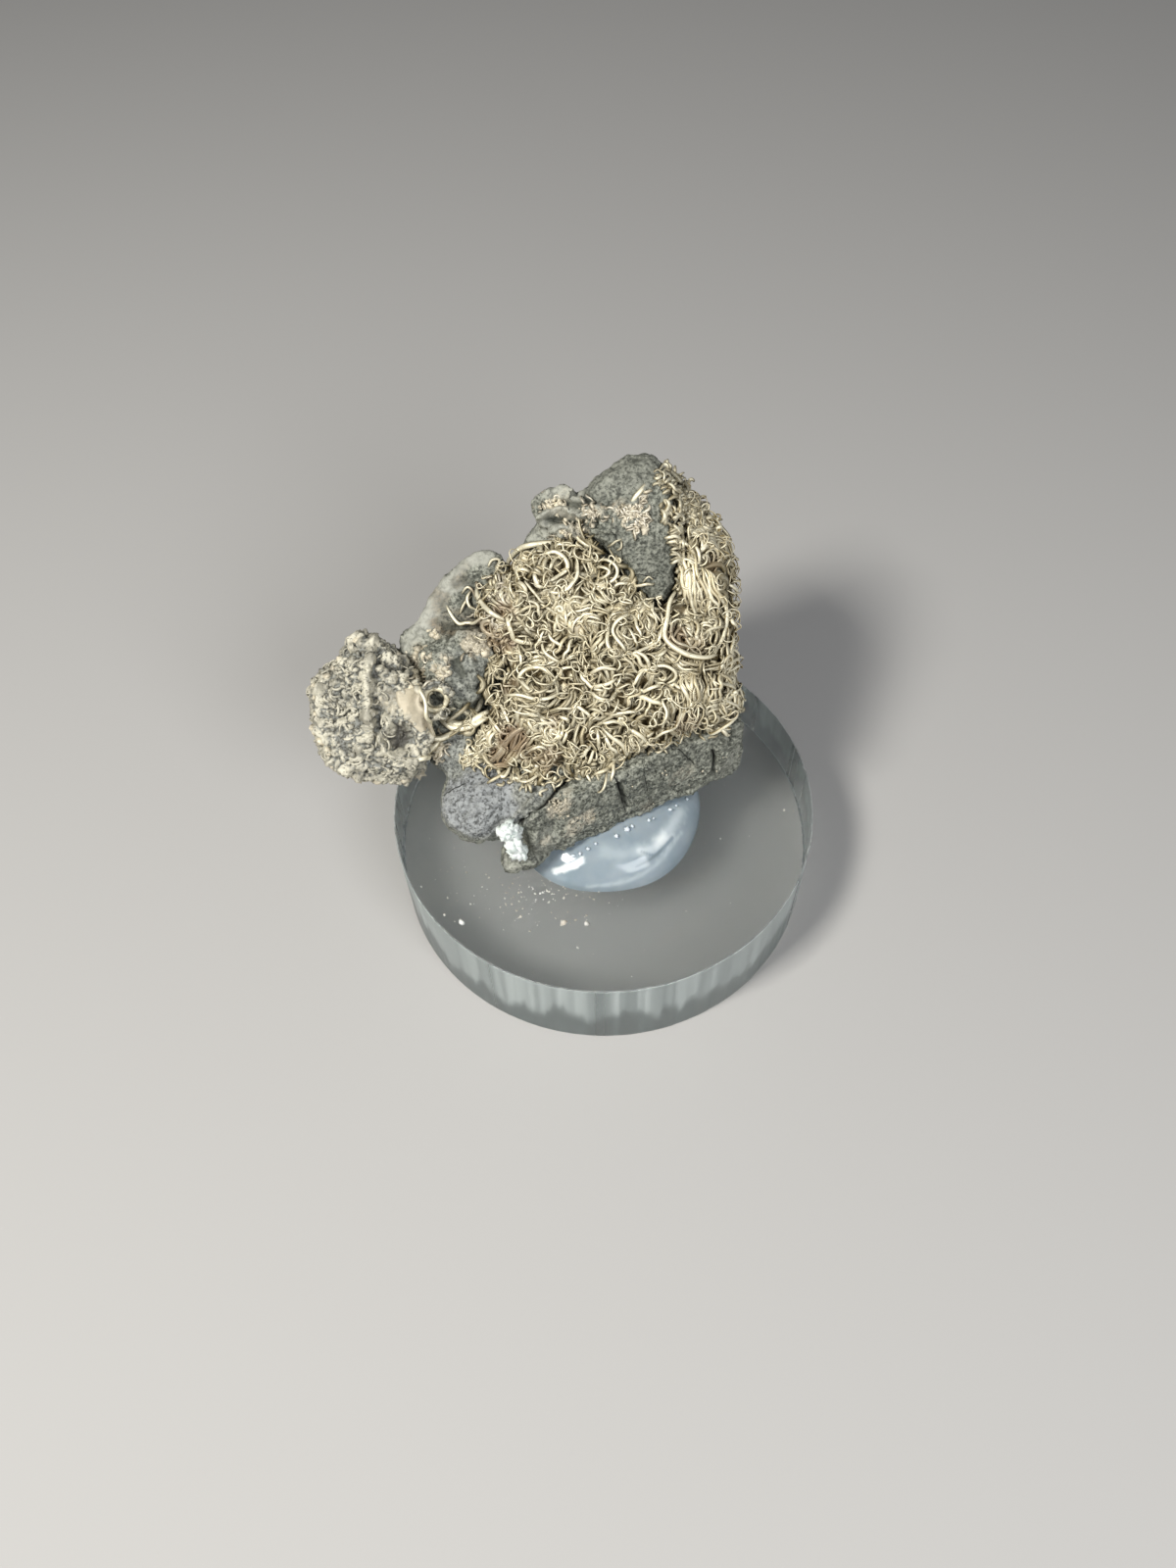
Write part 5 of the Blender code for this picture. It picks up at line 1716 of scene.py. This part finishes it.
class SPECIMEN_OT_grains(Operator):
    """Adds grains of silver on the bare rock, in patches."""

    bl_idname = "specimen.grains"
    bl_label = "Silver grains"

    def execute(self, context):
        chance = np.random.default_rng(41)
        places, sizes = [], []
        for x, y, wide, tall, count, size in GRAIN_PATCHES:
            spots = (x, y) + chance.normal(size=(count, 2)) * (wide, tall) * 0.5
            places.append(held(on_specimen(spots, 2.0 * MM)[0]))
            sizes.append(chance.uniform(0.5, 1.25, count) * size * MM)
        nodules = np.array(NODULES)
        places.append(on_specimen(nodules[:, :2], 3.0 * MM)[0])
        sizes.append(nodules[:, 2] * pixel_size(places[-1]))
        points, quads, triangles = grain_arrays(
            np.concatenate(places), np.concatenate(sizes), chance
        )
        marks = {
            "raised": 0.85 + 0.3 * noise(points, 0.2 * MM, 3), "smooth": np.full(len(points), 0.5),
        }
        cream = crust_finish(
            "cream crust", (0.84, 0.77, 0.60), (0.80, 0.72, 0.55), settings(context).knob.ground
        )
        piece = new_piece("silver_grains", points, quads, triangles, cream, marks)
        return {"FINISHED"}


def grain_arrays(places, sizes, chance, rings=5, sides=7, stretch=0.6):
    """Lumpy grains: small balls whose rings are stretched and dented at random."""
    count = len(places)
    theta = math.pi * (np.arange(rings) + 1)[:, None] / (rings + 1)
    phi = 2 * math.pi * np.arange(sides) / sides
    ball = np.stack([
        np.sin(theta) * np.cos(phi), np.sin(theta) * np.sin(phi), np.cos(theta) + 0 * phi,
    ], axis=-1).reshape(-1, 3)
    ball = np.concatenate([ball, [[0, 0, 1], [0, 0, -1]]])
    dents = 1 + 0.22 * chance.normal(size=(count, len(ball), 1))
    pull = 1 + stretch * chance.uniform(-0.5, 1, (count, 1, 3))
    turned = np.einsum("nij,nkj->nki", random_turns(chance, count), ball[None] * dents * pull)
    points = places[:, None] + turned * 0.5 * sizes[:, None, None]
    return points.reshape(-1, 3), *closed_faces(count, rings, sides)


class SPECIMEN_OT_calcite(Operator):
    """Adds the white cluster: small sheared blocks of calcite grown through each other."""

    bl_idname = "specimen.calcite"
    bl_label = "Calcite crystals"

    def execute(self, context):
        chance = np.random.default_rng(3)
        spots = []
        for x, y, wide, tall, many in CALCITE_PATCHES:
            angle = chance.uniform(0, 2 * math.pi, many)
            reach = np.sqrt(chance.uniform(0, 1, many))[:, None] * (wide, tall)
            spots.append((x, y) + reach * np.stack([np.cos(angle), np.sin(angle)], axis=1))
        places, normals = on_specimen(np.concatenate(spots), 2.0 * MM)
        count = len(places)
        places = places + normals * chance.uniform(-0.12, 0.26, (count, 1)) * MM
        sizes = chance.uniform(0.16, 0.42, count) * MM
        corner = np.array(list(np.ndindex(2, 2, 2))) - 0.5
        shear = np.array([[1, 0.35, 0.3], [0, 1, 0.3], [0, 0, 1.0]])
        local = (corner @ shear.T)[None] * chance.uniform(0.7, 1.3, (count, 1, 3))
        turned = np.einsum("nij,nkj->nki", random_turns(chance, count), local)
        points = places[:, None] + turned * sizes[:, None, None]
        sides = np.array([
            (0, 1, 3, 2), (4, 6, 7, 5), (0, 4, 5, 1), (2, 3, 7, 6), (0, 2, 6, 4), (1, 5, 7, 3),
        ])
        quads = sides[None] + (np.arange(count) * 8)[:, None, None]
        look = Finish("white calcite")
        cloud = look.noise(0.6 * MM)
        look.shade(
            Base_Color=look.paint((0.74, 0.82, 0.77), (0.98, 1.0, 0.98), cloud, 0.35, 0.65),
            Roughness=look.ranged(cloud, 0.3, 0.7, 0.12, 0.3),
            Subsurface_Weight=0.1, Subsurface_Radius=(0.0003, 0.0003, 0.0003),
        )
        piece = new_piece(
            "calcite_cluster", points.reshape(-1, 3), quads, finish=look.material, smooth=False
        )
        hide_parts("calcite_crystals")
        return {"FINISHED"}


def add_bubbles():
    """Small white blisters where the putty meets the rock."""
    chance = np.random.default_rng(9)
    rows = np.array(BUBBLES)
    places, _ = on_specimen(rows[:, :2], 3.0 * MM, PUTTY_TREE)
    points, quads, triangles = grain_arrays(
        places, rows[:, 2] * pixel_size(places), chance, rings=7, sides=10, stretch=0.3
    )
    look = Finish("putty blisters")
    shade = look.mix(look.noise(0.3 * MM), (0.70, 0.79, 0.86), (0.90, 0.95, 1.0))
    look.shade(Base_Color=shade, Roughness=0.3)
    piece = new_piece("putty_blisters", points, quads, triangles, look.material)


class SPECIMEN_OT_putty(Operator):
    """Adds the putty: a milky dome squeezed out under the rock, with bubbles along the rock."""

    bl_idname = "specimen.putty"
    bl_label = "Putty"

    def execute(self, context):
        middle = (PUTTY_LOW + PUTTY_HIGH) / 2
        radius = (PUTTY_HIGH[0] - PUTTY_LOW[0]) / 2
        dome = PUTTY_HIGH[2] - BASE_TOP + 0.12 * MM
        rings, sides = 72, 240
        share = np.sin(np.linspace(0.02, math.pi / 2, rings))[:, None]
        angle = np.linspace(0, 2 * math.pi, sides, endpoint=False)[None, :]
        edge = 1 + 0.02 * np.sin(2 * angle + 0.7) + 0.012 * np.sin(5 * angle)
        reach = radius * share * edge
        x = middle[0] + reach * np.cos(angle)
        y = middle[1] + reach * np.sin(angle)
        fold = 0.10 * MM * np.sin(9 * angle + 6 * share) * share**2 * (1 - share)
        z = BASE_TOP + dome * np.sqrt(np.clip(1 - share**2.3, 0, 1)) + fold + 0 * angle
        points = np.stack([x, y, z], axis=-1)
        foot = points[-1:].copy()
        foot[..., 2] = BASE_TOP + 0.01 * MM
        points, quads, triangles = closed_grid(np.concatenate([points, foot]))
        gleam = np.zeros(len(points))
        shown = shown_at(points)
        torn = noise(points, 0.35 * MM, 6, 2)
        for strength, half, power, *pixels in GLEAMS:
            gap = np.linalg.norm(shown[:, None] - resampled(pixels, 40)[None], axis=-1).min(axis=1)
            gleam += strength * np.exp(-((gap / half * (1 + 0.35 * torn)) ** power))
        look = Finish("milky putty")
        cloud, shine = look.noise(2.5 * MM), look.mark("gleam")
        shade = look.paint(settings(context).base.putty, (0.66, 0.75, 0.81), cloud, 0.3, 0.7)
        # Painted reflections whiten the putty and make it less clear along the gleams, and painted shade
        # darkens its creases
        shade = look.paint(shade, (0.93, 0.97, 0.97), shine, 0, 1, 0, 0.9)
        look.shade(
            Base_Color=look.paint(shade, (0.25, 0.32, 0.36), shine, 0, -0.5, 0, 0.6), IOR=1.46,
            Roughness=look.ranged(cloud, 0.3, 0.7, 0.06, 0.14),
            Transmission_Weight=look.ranged(shine, 0, 1, 0.55, 0.05),
            Subsurface_Weight=0.4, Subsurface_Radius=(0.0012, 0.0014, 0.0018),
        )
        piece = new_piece("putty_dome", points, quads, triangles, look.material, {"gleam": gleam})
        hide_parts("mounting_putty")
        add_bubbles()
        return {"FINISHED"}


def acrylic_finish(chosen):
    """Clear acrylic: polished and faintly smudged faces, a frosted wall with saw streaks."""
    look = Finish("clear acrylic")
    sawn, streak, band = (look.mark(name) for name in ("sawn", "streak", "band"))
    haze = look.ranged(look.noise(5.0 * MM, 3.0), 0.52, 0.72, 0.015, 0.10)
    frost = look.ranged(streak, -0.8, 0.8, 0.22, 0.55)
    wall = look.paint(chosen.wall, (0.76, 0.83, 0.81), streak, -0.8, 0.8)
    wall = look.paint(wall, chosen.wall, band, 0, 1, 0.8, 0.0)
    milk = look.worked(
        "Math", "MULTIPLY", look.ranged(streak, -0.8, 0.8, 0.30, 0.60),
        look.ranged(band, 0, 1, 0.35, 1.0),
    )
    veil = look.worked("Math", "MULTIPLY", sawn, milk)
    look.shade(
        Base_Color=look.mix(sawn, chosen.clear, wall), IOR=1.49,
        Roughness=look.mix(sawn, haze, frost, "FLOAT", (0, 2, 3, 0)),
        Transmission_Weight=look.ranged(veil, 0.0, 1.0, 1.0, 0.0),
    )
    squeeze = look.add("Mapping", Vector=look.place, Scale=(1.0, 1.0, 0.06))
    saw = look.noise(0.5 * MM, 4.0, place=squeeze.outputs["Vector"])
    look.bump(saw, 0.02 * MM, 0.35)
    return look.material


class SPECIMEN_OT_base(Operator):
    """Adds the clear base: a turned disc with a sawn wall, a chipped top edge and clear faces."""

    bl_idname = "specimen.base"
    bl_label = "Clear base"

    def execute(self, context):
        chosen = settings(context).base
        angle = np.linspace(0, 2 * math.pi, 540, endpoint=False)
        inner = np.linspace(0.04 * BASE_RADIUS, BASE_RADIUS - 0.12 * MM, 14)
        wall = np.linspace(0.12, BASE_TOP / MM - 0.12, 18) * MM
        # The rings go out over the underside, up the wall and back over the top
        flat = np.zeros(len(inner))
        radii = np.concatenate([inner, np.full(len(wall), BASE_RADIUS), inner[::-1]])[:, None]
        heights = np.concatenate([flat, wall, flat + BASE_TOP])[:, None]
        sawn = np.concatenate([flat, np.ones(len(wall)), flat])[:, None] + 0 * angle
        ring = BASE_RADIUS * np.stack([np.cos(angle), np.sin(angle), 0 * angle], axis=-1)
        streak = 0.7 * noise(ring, 0.9 * MM, 4, 4) + 0.5 * noise(ring, 0.25 * MM, 8, 2)
        coarse = smooth_step(0.1, 0.8, noise(ring, 2.6 * MM, 14, 2))
        chips = smooth_step(0.05, 1.0, noise(ring, 0.45 * MM, 21, 3))
        brim = 0.46 + 0.22 * noise(ring, 3.2 * MM, 61, 2) + 0.16 * noise(ring, 0.45 * MM, 62, 2)
        drop = (wall[:, None] - wall[0]) / (wall[-1] - wall[0])
        on_wall = slice(len(inner), len(inner) + len(wall))
        top_edge, band = np.zeros_like(sawn), np.zeros_like(sawn)
        top_edge[on_wall] = smooth_step(0.90, 1.0, drop)
        top_edge[on_wall.stop] = 0.5
        band[on_wall] = smooth_step(-0.12, 0.12, drop - brim)
        broken = chosen.chip * top_edge * chips
        radii = radii - chosen.streak * sawn * (1 + streak) * (0.5 + coarse) - broken
        heights = heights - 0.5 * broken
        points = np.stack([radii * np.cos(angle), radii * np.sin(angle), heights], axis=-1)
        points, quads, triangles = closed_grid(points)
        # Seen from the first pole, under the disc, the rings run clockwise, so the faces are turned
        quads, triangles = quads[:, ::-1], triangles[:, ::-1]
        marks = {
            mark: np.concatenate([values.ravel(), [0, 0]])
            for mark, values in (("sawn", sawn), ("streak", sawn * streak), ("band", band))
        }
        piece = new_piece("clear_disc", points, quads, triangles, acrylic_finish(chosen), marks)
        piece.data.set_sharp_from_angle(angle=math.radians(24))
        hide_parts("acrylic_base")
        return {"FINISHED"}


class SPECIMEN_OT_dust(Operator):
    """Adds the specks of dust and the flakes that lie on the clear base."""

    bl_idname = "specimen.dust"
    bl_label = "Dust"

    def execute(self, context):
        chance = np.random.default_rng(77)
        middle, spread = DUST_FIELD
        near = on_level(middle + chance.normal(size=(150, 2)) * spread, BASE_TOP)
        near_sizes = np.abs(chance.normal(size=150)) * 0.045 * MM + 0.03 * MM
        count = 150
        angle = chance.uniform(0, 2 * math.pi, count)
        reach = BASE_RADIUS * 0.95 * np.sqrt(chance.uniform(0, 1, count))
        far = np.stack([reach * np.cos(angle), reach * np.sin(angle), np.full(count, BASE_TOP)], 1)
        far_sizes = chance.uniform(0.02, 0.06, count) * MM
        rows = np.array(FLAKES)
        flakes = on_level(rows[:, :2], BASE_TOP)
        places = np.concatenate([near, far, flakes])
        sizes = np.concatenate([near_sizes, far_sizes, rows[:, 2] * pixel_size(flakes)])
        places[:, 2] += 0.25 * sizes
        points, quads, triangles = grain_arrays(places, sizes, chance, rings=3, sides=6)
        points[:, 2] = np.maximum(points[:, 2], BASE_TOP + 0.002 * MM)
        look = Finish("dust")
        cloud = look.noise(1.5 * MM)
        shade = look.paint((0.62, 0.56, 0.46), (0.88, 0.88, 0.84), cloud, 0.4, 0.6)
        look.shade(Base_Color=shade, Roughness=0.7)
        piece = new_piece("dust", points, quads, triangles, look.material)
        return {"FINISHED"}


def add_light(name, place, size, power, colour):
    """A square soft light that faces the specimen."""
    data = bpy.data.lights.new(name, "AREA")
    data.size = size
    data.energy = power
    data.color = colour
    light = bpy.data.objects.new(name, data)
    aim = Vector((0, 0, 0.012)) - Vector(place)
    light.matrix_world = Matrix.LocRotScale(Vector(place), aim.to_track_quat("-Z", "Y"), None)
    bpy.context.scene.collection.objects.link(light)


def add_camera(context):
    """The camera that was fitted to the clear base."""
    data = bpy.data.cameras.new("camera")
    data.sensor_width = SENSOR_MM
    data.lens = FOCAL_PIXELS / PICTURE_HEIGHT * SENSOR_MM
    data.clip_start = 0.002
    camera = bpy.data.objects.new("camera", data)
    turn = Matrix((CAMERA_RIGHT, CAMERA_UP, -CAMERA_FORWARD)).transposed().normalized()
    camera.matrix_world = Matrix.LocRotScale(Vector(CAMERA_PLACE), turn.to_quaternion(), None)
    context.scene.collection.objects.link(camera)
    context.scene.camera = camera


class SPECIMEN_OT_stage(Operator):
    """Adds the plain floor, the soft lights and the camera."""

    bl_idname = "specimen.stage"
    bl_label = "Floor, light and camera"

    def execute(self, context):
        chosen = settings(context).stage
        look = Finish("plain floor")
        look.shade(Base_Color=chosen.floor, Roughness=0.7)
        half, low = 0.6, -0.05 * MM
        mesh = bpy.data.meshes.new("floor")
        corners = [(-half, -half, low), (half, -half, low), (half, half, low), (-half, half, low)]
        mesh.from_pydata(corners, [], [(0, 1, 2, 3)])
        mesh.materials.append(look.material)
        floor = bpy.data.objects.new("floor", mesh)
        context.scene.collection.objects.link(floor)
        add_light("key", (-0.105, -0.080, 0.175), 0.045, chosen.key, (1.0, 0.98, 0.93))
        add_light("fill", (0.075, -0.120, 0.125), 0.08, chosen.fill, (0.97, 0.98, 1.0))
        context.scene.view_settings.view_transform = "Standard"
        world = bpy.data.worlds.new("soft room")
        context.scene.world = world
        world.use_nodes = True
        sky = world.node_tree.nodes["Background"]
        sky.inputs["Color"].default_value = (0.82, 0.86, 0.92, 1.0)
        sky.inputs["Strength"].default_value = chosen.room
        add_camera(context)
        return {"FINISHED"}


class SPECIMEN_PT_panel(Panel):
    """Lists the specimen's pieces and their settings."""

    bl_idname = "SPECIMEN_PT_panel"
    bl_label = "Native silver specimen"
    bl_space_type = "VIEW_3D"
    bl_region_type = "UI"
    bl_category = "Specimen"

    def draw(self, context):
        chosen = settings(context)
        for title, group, operators in (
            ("Stage", chosen.stage, ("stage",)),
            ("Base and putty", chosen.base, ("base", "putty", "dust")),
            ("Rock", chosen.rock, ("rock", "calcite", "grains")),
            ("Silver", chosen.silver, ("nest_mat", "curls", "lone_wires")),
            ("Knob", chosen.knob, ("knob",)),
        ):
            box = self.layout.box()
            box.label(text=title)
            for key in group.__annotations__:
                box.prop(group, key)
            for name in operators:
                box.operator("specimen." + name)


CLASSES = (
    SilverSettings, RockSettings, KnobSettings, BaseSettings, StageSettings, SpecimenSettings,
    SPECIMEN_OT_stage, SPECIMEN_OT_base, SPECIMEN_OT_putty, SPECIMEN_OT_rock,
    SPECIMEN_OT_nest_mat, SPECIMEN_OT_curls, SPECIMEN_OT_lone_wires, SPECIMEN_OT_knob,
    SPECIMEN_OT_grains, SPECIMEN_OT_calcite, SPECIMEN_OT_dust, SPECIMEN_PT_panel,
)

# The operators in the order in which they run
ORDER = (
    "stage", "base", "putty", "rock", "nest_mat", "curls", "lone_wires", "knob", "grains",
    "calcite", "dust",
)


def register():
    """Registers the classes and hangs the settings on the scene."""
    for each in CLASSES:
        bpy.utils.register_class(each)
    bpy.types.Scene.silver_specimen = PointerProperty(type=SpecimenSettings)


def unregister():
    """Takes away what register added."""
    del bpy.types.Scene.silver_specimen
    for each in reversed(CLASSES):
        bpy.utils.unregister_class(each)


def main():
    """Makes every piece in order."""
    register()
    for name in ORDER:
        getattr(bpy.ops.specimen, name)()


if __name__ == "__main__":
    main()
